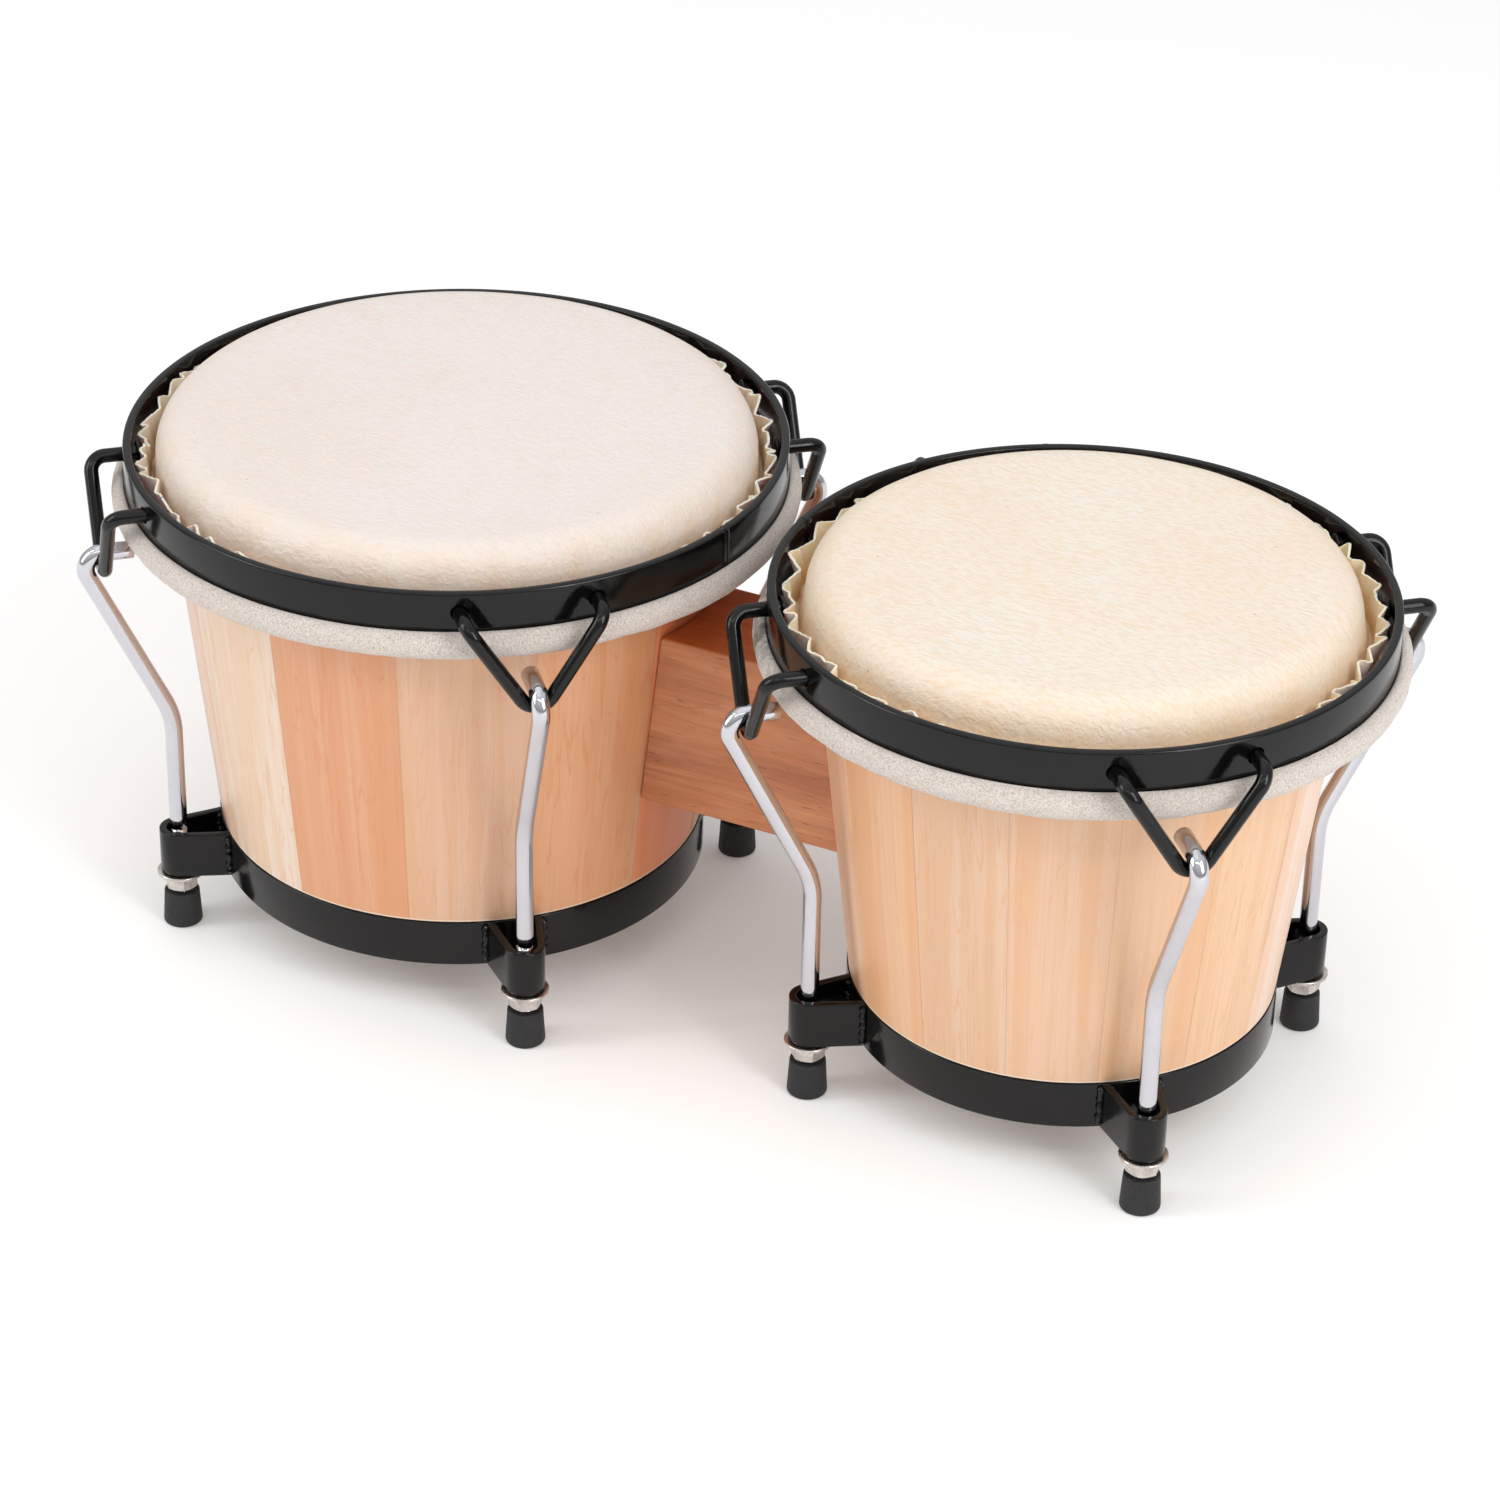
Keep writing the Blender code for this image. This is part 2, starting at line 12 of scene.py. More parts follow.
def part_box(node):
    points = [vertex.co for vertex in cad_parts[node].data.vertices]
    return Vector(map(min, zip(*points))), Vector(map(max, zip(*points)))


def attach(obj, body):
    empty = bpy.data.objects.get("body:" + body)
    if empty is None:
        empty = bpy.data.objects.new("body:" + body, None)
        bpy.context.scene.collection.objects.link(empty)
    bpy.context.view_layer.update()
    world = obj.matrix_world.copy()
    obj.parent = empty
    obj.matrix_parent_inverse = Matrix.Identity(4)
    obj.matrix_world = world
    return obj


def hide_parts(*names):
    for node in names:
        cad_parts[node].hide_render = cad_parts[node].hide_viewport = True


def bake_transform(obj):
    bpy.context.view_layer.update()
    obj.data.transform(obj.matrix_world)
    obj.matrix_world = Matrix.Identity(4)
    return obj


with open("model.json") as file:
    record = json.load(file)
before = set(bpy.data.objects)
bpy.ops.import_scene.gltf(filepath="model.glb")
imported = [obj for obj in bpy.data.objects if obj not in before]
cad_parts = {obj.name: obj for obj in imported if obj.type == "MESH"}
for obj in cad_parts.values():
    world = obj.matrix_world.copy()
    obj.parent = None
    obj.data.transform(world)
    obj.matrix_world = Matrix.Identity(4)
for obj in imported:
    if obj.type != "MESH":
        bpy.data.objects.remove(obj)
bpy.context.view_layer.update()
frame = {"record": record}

# ---- driving dimensions
MM = 0.001
CROWN_ROUND = 12 * MM
CROWN_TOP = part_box("large_skin")[1].z
HOOP_BOTTOM, HOOP_TOP = (corner.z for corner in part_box("large_hoop"))
HOOP_WALL = 2.9 * MM
ROLL_RADIUS = 5.4 * MM  # skin rolled round the flesh hoop
ROLL_Z = 159 * MM
RING_BOTTOM, RING_TOP = (corner.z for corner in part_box("large_bottom_ring"))
RING_WALL = 1.5 * MM
SHELL_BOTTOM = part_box("large_shell")[0].z
SHELL_WALL = 9.3 * MM
SKIN_ROOM = 1.9 * MM  # from the skin's crown in to the shell
SKIN_THICK = 1.2 * MM
GUTTER_Z = 163.2 * MM  # floor of the gutter between crown and hoop
SKIRT_INSET = 9.9 * MM  # from the hoop's outside to the foot of the skin's skirt
TRIM_FOOT_Z = 162 * MM  # the skin's trimmed edge
TRIM_TIP_Z = 173.9 * MM
TRIM_THICK = 0.8 * MM

FIRST_LUG = radians(41.3)
LUG_ANGLES = [FIRST_LUG + quarter * pi / 2 for quarter in range(4)]
WIRE_R = 2.4 * MM  # hook loops
WIRE_SPREAD = 22 * MM
WIRE_HOLE_Z = 170 * MM
WIRE_HOLE_R = 2.9 * MM
LOOP_OUT = 9 * MM
LOOP_FOOT_Z = 140.2 * MM
ROD_R = 3 * MM  # tension rods
ROD_OUT = 15.3 * MM
ROD_CHAMFER = 0.3 * MM
HOOK_BEND = WIRE_R + ROD_R + 0.5 * MM
CRANK_Z = 81.5 * MM
THREAD_PITCH = 1.0 * MM
THREAD_OUTER = 2.85 * MM
THREAD_INNER = 2.40 * MM
EAR_WALL = 2.6 * MM  # strap ears of the bottom rings
EAR_NOSE = 6.7 * MM
EAR_SPREAD = 9.5 * MM
WASHER_R = 8 * MM
WASHER_BORE = 3.4 * MM
WASHER_BOTTOM, WASHER_TOP = 19.5 * MM, 20.7 * MM
NUT_FLATS = 10 * MM
NUT_BORE = 3.0 * MM
NUT_BOTTOM, NUT_TOP = 14.2 * MM, 19.2 * MM
BLOCK_LOW, BLOCK_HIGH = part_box("centre_block")
SCRIBE_GAP = 0.3 * MM
BOLT_R = 2.9 * MM
BOLT_FLATS = 8.6 * MM
BOLT_HEAD = 5 * MM

SHARP_OVER = 38  # degrees between two faces that meet in a sharp edge


def drum(size, seed, first_joint, stave_count, crown_r, ring_r, thread_top):
    """A drum's axis and radii, the hoop's from its CAD node. Lengths come in millimetres."""
    hoop_low, hoop_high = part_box(f"{size}_hoop")
    crown_r *= MM
    ring_r *= MM
    return SimpleNamespace(
        size=size,
        x=(hoop_low.x + hoop_high.x) / 2,
        hoop_r=(hoop_high.x - hoop_low.x) / 2,
        crown_r=crown_r,
        ring_r=ring_r,
        rod_r=ring_r + ROD_OUT,
        shell_top_r=crown_r - SKIN_ROOM,
        shell_foot_r=ring_r - 0.4 * MM,
        in_ring_r=ring_r - RING_WALL - 0.3 * MM,
        thread_top=thread_top * MM,
        frame=f"{size}_head_frame",
        seed=seed,
        first_joint=radians(first_joint),
        stave_count=stave_count,
    )


DRUMS = [
    drum("large", 5, -100.6, 13, crown_r=99.4, ring_r=83.3, thread_top=38),
    drum("small", 9, -105.6, 15, crown_r=87.6, ring_r=70.5, thread_top=32),
]

# ---- colours
# Staves after the first joint, staves before it, and tones drawn for the rest.
FIRST_TONES = {
    "large": [(0.68, 0.34, 0.185), (0.70, 0.44, 0.29), (0.74, 0.395, 0.213), (0.79, 0.285, 0.13)],
    "small": [
        (0.73, 0.49, 0.33), (0.74, 0.48, 0.31), (0.74, 0.47, 0.29), (0.74, 0.476, 0.285), (0.77, 0.567, 0.445)
    ],
}
LAST_TONES = {
    "large": [(0.74, 0.505, 0.375), (0.74, 0.585, 0.455)],
    "small": [(0.75, 0.45, 0.256)],
}
MORE_TONES = [(0.78, 0.50, 0.32), (0.72, 0.41, 0.24), (0.82, 0.57, 0.40), (0.68, 0.36, 0.21)]
BLOCK_TONES = ((0.36, 0.102, 0.032), (0.54, 0.182, 0.062), (0.70, 0.285, 0.118))
# Pale, cream, amber, the way the fibres lie and their strength.
HIDE_TONES = {
    "large": ((0.765, 0.700, 0.670), (0.750, 0.640, 0.560), (0.70, 0.50, 0.32), radians(18), 0.20),
    "small": ((0.805, 0.730, 0.660), (0.790, 0.645, 0.500), (0.80, 0.55, 0.32), radians(-15), 0.45),
}
# Grain side, flesh side and amber, the amber also painting shade at the pleats' foot.
TRIM_TONES = {
    "large": ((0.84, 0.73, 0.58), (0.86, 0.79, 0.72), (0.74, 0.48, 0.22)),
    "small": ((0.87, 0.73, 0.52), (0.90, 0.82, 0.72), (0.80, 0.48, 0.18)),
}


# ---- node materials
class Shader:
    """A Principled material with short calls for the nodes that drive it."""

    def __init__(self, name, **sockets):
        self.material = bpy.data.materials.new(name)
        self.material.use_nodes = True
        self.tree = self.material.node_tree
        self.surface = self.tree.nodes["Principled BSDF"]
        for socket, value in sockets.items():
            self.set(socket.replace("_", " ").title().replace("Ior", "IOR"), value)

    def put(self, socket, value):
        """A link from an output or a constant, with its alpha added to a colour."""
        if isinstance(value, bpy.types.NodeSocket):
            self.tree.links.new(value, socket)
        elif socket.type == "RGBA":
            socket.default_value = (*value, 1)
        else:
            socket.default_value = value

    def set(self, socket, value):
        self.put(self.surface.inputs[socket], value)

    def node(self, kind, inputs=(), **settings):
        made = self.tree.nodes.new(f"ShaderNode{kind}")
        for setting, value in settings.items():
            setattr(made, setting, value)
        for socket, value in dict(inputs).items():
            self.put(made.inputs[socket], value)
        return made

    def place(self):
        """Where a point is on the object, in metres."""
        return self.node("TexCoord").outputs["Object"]

    def attribute(self, name, output="Fac"):
        return self.node("Attribute", attribute_name=name).outputs[output]

    def height(self, vector):
        return self.node("SeparateXYZ", {"Vector": vector}).outputs["Z"]

    def noise(self, vector, scale, detail, roughness, distortion=0.0):
        inputs = {"Vector": vector, "Scale": scale, "Detail": detail}
        inputs.update(Roughness=roughness, Distortion=distortion)
        return self.node("TexNoise", inputs).outputs["Fac"]

    def grained(self, vector, scales, detail, roughness, distortion=0.0, turn=0.0):
        """Noise with its own scale along each axis, turned about Z."""
        inputs = {"Vector": vector, "Scale": scales, "Rotation": (0, 0, turn)}
        stretched = self.node("Mapping", inputs).outputs["Vector"]
        return self.noise(stretched, 1.0, detail, roughness, distortion)

    def warped(self, vector, scale, amount):
        """The vector pushed about by smooth noise, by up to half the amount in metres."""
        inputs = {"Vector": vector, "Scale": scale, "Detail": 1.0}
        push = self.node("TexNoise", inputs).outputs["Color"]
        centred = self.node("VectorMath", {0: push, 1: (0.5, 0.5, 0.5)}, operation="SUBTRACT")
        scaled = self.node("VectorMath", {0: centred.outputs[0], "Scale": amount}, operation="SCALE")
        return self.node("VectorMath", {0: vector, 1: scaled.outputs[0]}).outputs[0]

    def span(self, value, low, high, to_low=0.0, to_high=1.0):
        """value from low..high to to_low..to_high, eased and clamped."""
        inputs = {"Value": value, "From Min": low, "From Max": high, "To Min": to_low, "To Max": to_high}
        return self.node("MapRange", inputs, interpolation_type="SMOOTHSTEP").outputs["Result"]

    def math(self, operation, a, b=0.0):
        return self.node("Math", {0: a, 1: b}, operation=operation).outputs[0]

    def near(self, value, middle, reach):
        """1 where the value is at the middle, falling to 0 at its reach."""
        return self.span(self.math("ABSOLUTE", self.math("SUBTRACT", value, middle)), 0.0, reach, 1, 0)

    def mix(self, amount, a, b, blend="MIX"):
        """Colour a, with b over it by amount."""
        inputs = {0: amount, 6: a, 7: b}
        return self.node("Mix", inputs, data_type="RGBA", blend_type=blend).outputs[2]

    def tinted(self, color, tint):
        return self.mix(1.0, color, tint, "MULTIPLY")

    def over(self, color, top, value, low, high, most=1.0):
        """The top colour over another, by 0..most as a value goes from low to high."""
        return self.mix(self.span(value, low, high, 0, most), color, top)

    def ramp(self, value, *stops):
        """A colour ramp through (place, colour) stops."""
        made = self.node("ValToRGB", {"Fac": value})
        points = made.color_ramp.elements
        while len(points) < len(stops):
            points.new(0.5)
        for point, (spot, color) in zip(points, stops):
            point.position = spot
            point.color = (*color, 1)
        return made.outputs["Color"]

    def finished(self, color, roughness, *layers):
        """The material with its colour, its roughness and bump layers of (height, depth in metres)."""
        self.set("Base Color", color)
        self.set("Roughness", roughness)
        normal = None
        for value, depth in layers:
            inputs = {"Height": value, "Distance": depth, "Strength": 1.0}
            if normal is not None:
                inputs["Normal"] = normal
            normal = self.node("Bump", inputs).outputs["Normal"]
        self.set("Normal", normal)
        return self.material


def shell_wood():
    """Pale glued staves under satin lacquer. The mesh gives tone, grain and way to the joint."""
    wood = Shader("shell_wood", coat_weight=0.25, coat_roughness=0.28)
    grain = wood.warped(wood.attribute("grain", "Vector"), 9, 0.004)
    tone = wood.attribute("tone", "Color")
    inside = wood.attribute("inside")
    bands = wood.grained(grain, (130, 1, 4), 2, 0.5, 0.4)
    lines = wood.grained(grain, (620, 1, 9), 3, 0.6, 0.3)
    fibres = wood.grained(grain, (2400, 1, 60), 3, 0.65)
    dashes = wood.grained(grain, (2600, 1, 190), 2, 0.5)
    streak = wood.near(wood.grained(grain, (210, 1, 12), 2, 0.4, 1.4), 0.5, 0.03)
    warm = wood.tinted(tone, (0.97, 0.88, 0.78))
    pale = wood.tinted(tone, (1.01, 1.03, 1.07))
    deep = wood.tinted(tone, (0.94, 0.74, 0.56))
    color = wood.over(warm, pale, bands, 0.36, 0.66)
    color = wood.over(color, wood.tinted(tone, (0.95, 0.84, 0.74)), lines, 0.46, 0.66, 0.45)
    figure = wood.math("MULTIPLY", wood.attribute("figure"), wood.math("MULTIPLY", streak, 0.85))
    color = wood.mix(figure, color, deep)
    color = wood.over(color, deep, fibres, 0.46, 0.72, 0.22)
    color = wood.over(color, (0.40, 0.19, 0.09), dashes, 0.67, 0.74, 0.22)
    joint = wood.span(wood.attribute("joint"), 0.00004, 0.00026, 0.16, 0)
    color = wood.mix(joint, color, wood.tinted(tone, (0.55, 0.40, 0.30)))
    # Painted highlight, partly a worn edge with thin lacquer: a pale line along the shell's foot just above
    # the ring.
    foot = wood.span(wood.height(wood.place()), RING_TOP + 0.5 * MM, RING_TOP + 1.1 * MM, 0.8, 0)
    color = wood.mix(foot, color, (0.88, 0.74, 0.58))
    color = wood.mix(inside, color, wood.tinted(color, (0.80, 0.72, 0.64)))
    rough = wood.span(fibres, 0.3, 0.8, 0.36, 0.48)
    roughness = wood.math("ADD", rough, wood.math("MULTIPLY", inside, 0.3))
    bumps = ((bands, 0.00005), (lines, 0.00005), (fibres, 0.00004), (dashes, 0.00002))
    return wood.finished(color, roughness, *bumps)


def block_wood():
    """Reddish brown, grain along X, with painted shade that makes the top darker and redder."""
    wood = Shader("block_wood", coat_weight=0.15, coat_roughness=0.35)
    place = wood.warped(wood.place(), 14, 0.003)
    bands = wood.grained(place, (9, 80, 110), 3, 0.55, 0.6)
    rings = wood.grained(place, (5, 60, 75), 2, 0.5, 1.0)
    fibres = wood.grained(place, (60, 1500, 1500), 4, 0.6)
    dashes = wood.grained(place, (150, 1300, 1600), 2, 0.45)
    patches = wood.grained(place, (30, 60, 60), 3, 0.6)
    color = wood.ramp(bands, *zip((0.28, 0.5, 0.74), BLOCK_TONES))
    edge = wood.math("MULTIPLY", wood.near(rings, 0.52, 0.012), 0.35)
    color = wood.mix(edge, color, (0.30, 0.085, 0.035))
    color = wood.over(color, (0.32, 0.095, 0.04), fibres, 0.44, 0.72, 0.30)
    color = wood.over(color, (0.70, 0.33, 0.17), patches, 0.45, 0.75, 0.30)
    color = wood.over(color, (0.12, 0.04, 0.02), dashes, 0.67, 0.75, 0.65)
    # Painted shade: faces that look up are darker and redder.
    top_shade_mask = wood.height(wood.node("NewGeometry").outputs["Normal"])
    color = wood.over(color, wood.tinted(color, (0.95, 0.60, 0.25)), top_shade_mask, 0.5, 0.9, 0.9)
    roughness = wood.span(fibres, 0.3, 0.8, 0.40, 0.56)
    return wood.finished(color, roughness, (bands, 0.00008), (fibres, 0.00006), (dashes, 0.00004))


def hide(name, pale, cream, amber, fibre_turn, fibre_strength):
    """Natural rawhide, cream over the edge, with fine bent fibres, mottling and a few specks."""
    skin = Shader(name, subsurface_weight=0.12, subsurface_scale=0.004)
    place = skin.place()
    rim = skin.attribute("rim")
    bent = skin.warped(skin.warped(place, 12, 0.016), 55, 0.0016)
    fibres = skin.grained(bent, (300, 1000, 400), 2, 0.5, turn=fibre_turn)
    hairs = skin.grained(bent, (900, 2600, 900), 3, 0.6, turn=fibre_turn)
    wrinkles = skin.grained(bent, (330, 620, 420), 3, 0.55, 0.8, turn=fibre_turn + 0.9)
    mottle = skin.noise(place, 60, 5, 0.6, 0.4)
    clouds = skin.noise(place, 13, 3, 0.5)
    pores = skin.noise(place, 2600, 2, 0.5)
    color = skin.over(pale, cream, rim, 0.30, 1.0)
    color = skin.over(color, cream, clouds, 0.45, 0.7, 0.45)
    color = skin.over(color, skin.mix(0.4, cream, amber), mottle, 0.5, 0.72, 0.22)
    stain = skin.math("MULTIPLY", skin.span(mottle, 0.40, 0.66), skin.span(rim, 0.60, 0.98))
    color = skin.mix(skin.math("MULTIPLY", stain, 0.45), color, amber)
    darker = skin.tinted(cream, (0.95, 0.87, 0.76))
    color = skin.over(color, darker, fibres, 0.44, 0.62, fibre_strength)
    color = skin.over(color, darker, hairs, 0.50, 0.75, 0.16)
    specks = skin.node("TexVoronoi", {"Vector": place, "Scale": 60}).outputs["Distance"]
    color = skin.mix(skin.span(specks, 0.018, 0.030, 0.5, 0), color, (0.34, 0.22, 0.12))
    roughness = skin.span(mottle, 0.3, 0.7, 0.50, 0.64)
    depth = skin.math("MULTIPLY", wrinkles, skin.span(rim, 0.3, 0.85, 0.2, 1.0))
    bumps = ((depth, 0.0005), (fibres, 0.00024), (hairs, 0.00008), (pores, 0.00003))
    return skin.finished(color, roughness, *bumps)


def trimmed_hide(name, grain_tone, flesh_tone, amber):
    """The skin's cut edge: smooth grain side, amber painted shade at its foot, and speckled flesh side."""
    skin = Shader(name, subsurface_weight=0.35, subsurface_scale=0.003)
    place = skin.place()
    mottle = skin.noise(place, 170, 4, 0.6)
    fuzz = skin.noise(place, 1500, 4, 0.7)
    specks = skin.noise(place, 1900, 2, 0.5)
    flesh = skin.attribute("flesh")
    grain = skin.over(grain_tone, skin.mix(0.6, grain_tone, amber), mottle, 0.42, 0.72, 0.35)
    # Painted shade: amber deepening towards the pleats' foot, next to the crown.
    grain = skin.over(grain, amber, skin.attribute("depth"), 0.20, 0.80, 0.85)
    rough = skin.over(flesh_tone, skin.tinted(flesh_tone, (0.80, 0.74, 0.66)), fuzz, 0.35, 0.7, 0.6)
    rough = skin.over(rough, (0.30, 0.24, 0.18), specks, 0.66, 0.74, 0.45)
    color = skin.mix(flesh, grain, rough)
    color = skin.over(color, (0.90, 0.84, 0.72), skin.attribute("edge"), 0.4, 1.0, 0.15)
    gloss = skin.span(mottle, 0.3, 0.7, 0.42, 0.58)
    roughness = skin.math("ADD", gloss, skin.math("MULTIPLY", flesh, 0.25))
    return skin.finished(color, roughness, (mottle, 0.0003), (skin.math("MULTIPLY", fuzz, flesh), 0.0003))


def rolled_hide():
    """Suede side out: warm grey-white nap with fine speckle, and dark painted shade on its upper side next to
    the hoop.
    """
    nap = Shader("rolled_hide", sheen_weight=0.35, sheen_roughness=0.5)
    place = nap.place()
    fuzz = nap.noise(place, 1700, 5, 0.7)
    specks = nap.noise(place, 3200, 2, 0.5)
    tufts = nap.noise(place, 420, 4, 0.65)
    clouds = nap.noise(place, 60, 3, 0.5)
    color = nap.ramp(fuzz, (0.36, (0.52, 0.43, 0.36)), (0.5, (0.77, 0.68, 0.61)), (0.64, (0.92, 0.84, 0.78)))
    color = nap.over(color, (0.72, 0.62, 0.52), clouds, 0.45, 0.7, 0.15)
    color = nap.over(color, (0.36, 0.31, 0.27), specks, 0.67, 0.76, 0.4)
    # Painted shade: the upper side by the hoop darkened towards near black, broken up by the tufts.
    smudge = nap.math("MULTIPLY", nap.attribute("smudge"), nap.span(tufts, 0.32, 0.62, 0.2, 1.0))
    color = nap.mix(nap.math("MULTIPLY", smudge, 0.8), color, (0.11, 0.09, 0.075))
    return nap.finished(color, 0.95, (tufts, 0.0002), (fuzz, 0.0008))


def black_steel():
    """Glossy black powder coat with a slight orange peel and a little dust."""
    paint = Shader("black_steel", specular_ior_level=0.32)
    place = paint.place()
    peel = paint.noise(place, 700, 2, 0.5)
    dust = paint.noise(place, 90, 5, 0.65)
    grit = paint.noise(place, 2400, 3, 0.6)
    color = paint.over((0.0030, 0.0026, 0.0026), (0.0070, 0.0062, 0.0060), dust, 0.5, 0.8, 0.5)
    color = paint.over(color, (0.04, 0.036, 0.033), grit, 0.70, 0.78, 0.25)
    roughness = paint.span(dust, 0.3, 0.75, 0.09, 0.19)
    return paint.finished(color, roughness, (peel, 0.00003), (grit, 0.000006))


def chrome():
    """Bright plating with faint drawing marks."""
    metal = Shader("chrome", metallic=1.0)
    place = metal.place()
    smears = metal.noise(place, 120, 4, 0.6)
    marks = metal.grained(place, (900, 900, 60), 3, 0.6)
    color = metal.over((0.60, 0.60, 0.64), (0.53, 0.53, 0.57), smears, 0.4, 0.8, 0.5)
    roughness = metal.span(smears, 0.3, 0.8, 0.05, 0.16)
    return metal.finished(color, roughness, (marks, 0.00001), (smears, 0.00002))


def plated_steel():
    """Warm, slightly dull nickel on the nuts and washers."""
    metal = Shader("plated_steel", metallic=1.0)
    place = metal.place()
    blotches = metal.noise(place, 260, 4, 0.6)
    scratches = metal.grained(place, (2200, 300, 300), 3, 0.6, turn=0.6)
    tones = ((0.3, (0.42, 0.38, 0.35)), (0.6, (0.66, 0.62, 0.58)), (0.8, (0.74, 0.71, 0.68)))
    color = metal.ramp(blotches, *tones)
    roughness = metal.span(scratches, 0.3, 0.8, 0.22, 0.42)
    return metal.finished(color, roughness, (scratches, 0.00001), (blotches, 0.00003))


def rubber():
    """Matte moulded rubber with a little bloom."""
    soft = Shader("rubber")
    place = soft.place()
    bloom = soft.noise(place, 120, 4, 0.6)
    grit = soft.noise(place, 1800, 3, 0.6)
    color = soft.over((0.014, 0.013, 0.014), (0.034, 0.032, 0.032), bloom, 0.45, 0.8, 0.6)
    roughness = soft.span(grit, 0.3, 0.7, 0.55, 0.78)
    return soft.finished(color, roughness, (grit, 0.00004), (bloom, 0.00005))


FINISHES = {
    make.__name__: make()
    for make in (shell_wood, block_wood, rolled_hide, black_steel, chrome, plated_steel, rubber)
}
NODE_BODY = {
    node: body
    for body, nodes in frame["record"]["behaviour"]["bodies"].items()
    for node in nodes
}


# ---- shapes
def unit(vector):
    return vector / np.linalg.norm(vector)


def rounded(corners, radii, steps=6, closed=False):
    """A path through corners, each rounded to its own radius. An open path keeps its ends."""
    corners = [np.array(corner, float) for corner in corners]
    path = []
    for index, (corner, radius) in enumerate(zip(corners, radii)):
        if radius == 0 or not closed and index in (0, len(corners) - 1):
            path.append(corner)
            continue
        arriving = unit(corner - corners[index - 1])
        leaving = unit(corners[(index + 1) % len(corners)] - corner)
        angle = acos(np.clip(arriving @ leaving, -1, 1))
        centre = corner + unit(leaving - arriving) * radius / cos(angle / 2)
        across = corner - arriving * radius * tan(angle / 2) - centre
        for turn in np.linspace(0, angle, steps + 1):
            path.append(centre + cos(turn) * across + sin(turn) * radius * arriving)
    return np.array(path)


def rectangle(inner, outer, low, high, radii, steps):
    """A closed, rounded section. radii is one number, or four from the outer top corner down."""
    corners = [(outer, high), (outer, low), (inner, low), (inner, high)]
    return rounded(corners, np.broadcast_to(radii, 4), steps, closed=True)


def refined(path, longest, closed=False):
    """The path with points added, so that no stretch is over longest."""
    ends = np.roll(path, -1, axis=0) if closed else path[1:]
    made = []
    for start, end in zip(path, ends):
        count = max(1, ceil(np.linalg.norm(end - start) / longest))
        made += [start + (end - start) * step / count for step in range(count)]
    if not closed:
        made.append(path[-1])
    return np.array(made)


def round_arc(centre, radius, start, end, steps):
    """Points (r, z) on an arc, from the angle start to end in degrees."""
    angles = np.radians(np.linspace(start, end, steps + 1))
    return [(centre[0] + radius * cos(a), centre[1] + radius * sin(a)) for a in angles]


def surface(points, closed_rows=False, caps=False):
    """(points, faces) over rows of points that each close on themselves. Faces point out."""
    rows, columns = points.shape[:2]
    row = np.arange(rows if closed_rows else rows - 1)[:, None]
    column = np.arange(columns)[None, :]
    next_row, next_column = (row + 1) % rows, (column + 1) % columns
    around = ((row, column), (row, next_column), (next_row, next_column), (next_row, column))
    faces = np.stack([r * columns + c for r, c in around], -1).reshape(-1, 4).tolist()
    flat = points.reshape(-1, 3)
    if caps:
        total = rows * columns
        flat = np.vstack([flat, points[0].mean(axis=0), points[-1].mean(axis=0)])
        last = total - columns
        for spot in range(columns):
            beside = (spot + 1) % columns
            faces.append((beside, spot, total))
            faces.append((last + spot, last + beside, total + 1))
    return outward(flat, faces)


def outward(points, faces):
    """The faces turned over if they enclose a negative volume."""
    volume = 0.0
    for size in (3, 4):
        corners = points[np.array([face for face in faces if len(face) == size], int).reshape(-1, size)]
        for second in range(1, size - 1):
            cross = np.cross(corners[:, second], corners[:, second + 1])
            volume += np.einsum("ij,ij->", corners[:, 0], cross)
    return points, faces if volume > 0 else [tuple(reversed(face)) for face in faces]


def joined(shapes):
    """Several (points, faces) as one."""
    points, faces = [], []
    for more_points, more_faces in shapes:
        first = sum(len(part) for part in points)
        points.append(more_points)
        faces += [tuple(corner + first for corner in face) for face in more_faces]
    return np.vstack(points), faces


def revolved(profile, angles):
    """Rows of points: the profile (r, z) turned to each angle."""
    profile = np.asarray(profile)
    grid = np.empty((len(profile), len(angles), 3))
    grid[..., 0] = profile[:, :1] * np.cos(angles)
    grid[..., 1] = profile[:, :1] * np.sin(angles)
    grid[..., 2] = profile[:, 1:]
    return grid


def full_turn(steps):
    return np.arange(steps) * 2 * pi / steps


def turned(profile, steps, closed=True):
    """A solid of revolution about Z. An open profile ends at the axis."""
    return surface(revolved(profile, full_turn(steps)), closed_rows=closed, caps=not closed)


def away_from_axis(angles):
    return np.stack([np.cos(angles), np.sin(angles), np.zeros_like(angles)], -1)


def turn_between(angles, other):
    """The unsigned turn from each angle to another one, up to half a turn."""
    return np.abs((angles - other + pi) % (2 * pi) - pi)


def swell(value, width):
    """A bell curve of height 1 round 0."""
    return np.exp(-((value / width) ** 2))


def tube_rows(path, radii, sides):
    """Rings of points round a path, carried along it without twist."""
    tangents = np.gradient(path, axis=0)
    tangents /= np.linalg.norm(tangents, axis=1)[:, None]
    across = unit(np.cross(tangents[0], (0.31, 0.52, 0.79)))
    turns = full_turn(sides)
    rows = []
    for point, tangent, radius in zip(path, tangents, radii):
        across = unit(across - tangent * (across @ tangent))
        beside = np.cross(tangent, across)
        ring = np.outer(np.cos(turns), across) + np.outer(np.sin(turns), beside)
        rows.append(point + radius * ring)
    return np.array(rows)


def shifted(shape, offset):
    return shape[0] + offset, shape[1]


def moved(shape, drum, angle=0.0):
    """A shape from a lug's own frame, +X away from the drum's axis, to its place."""
    points, faces = shape
    turn = np.array(Matrix.Rotation(angle, 3, "Z"))
    return points @ turn.T + (drum.x, 0, 0), faces


def waves(points, scale, seed=0):
    """Smooth noise from -1 to 1 at each point."""
    return np.array([noise.noise(Vector(point)) for point in points * scale + seed * 7.31])


def linked(name, data):
    """An object in the scene."""
    made = bpy.data.objects.new(name, data)
    bpy.context.scene.collection.objects.link(made)
    return made


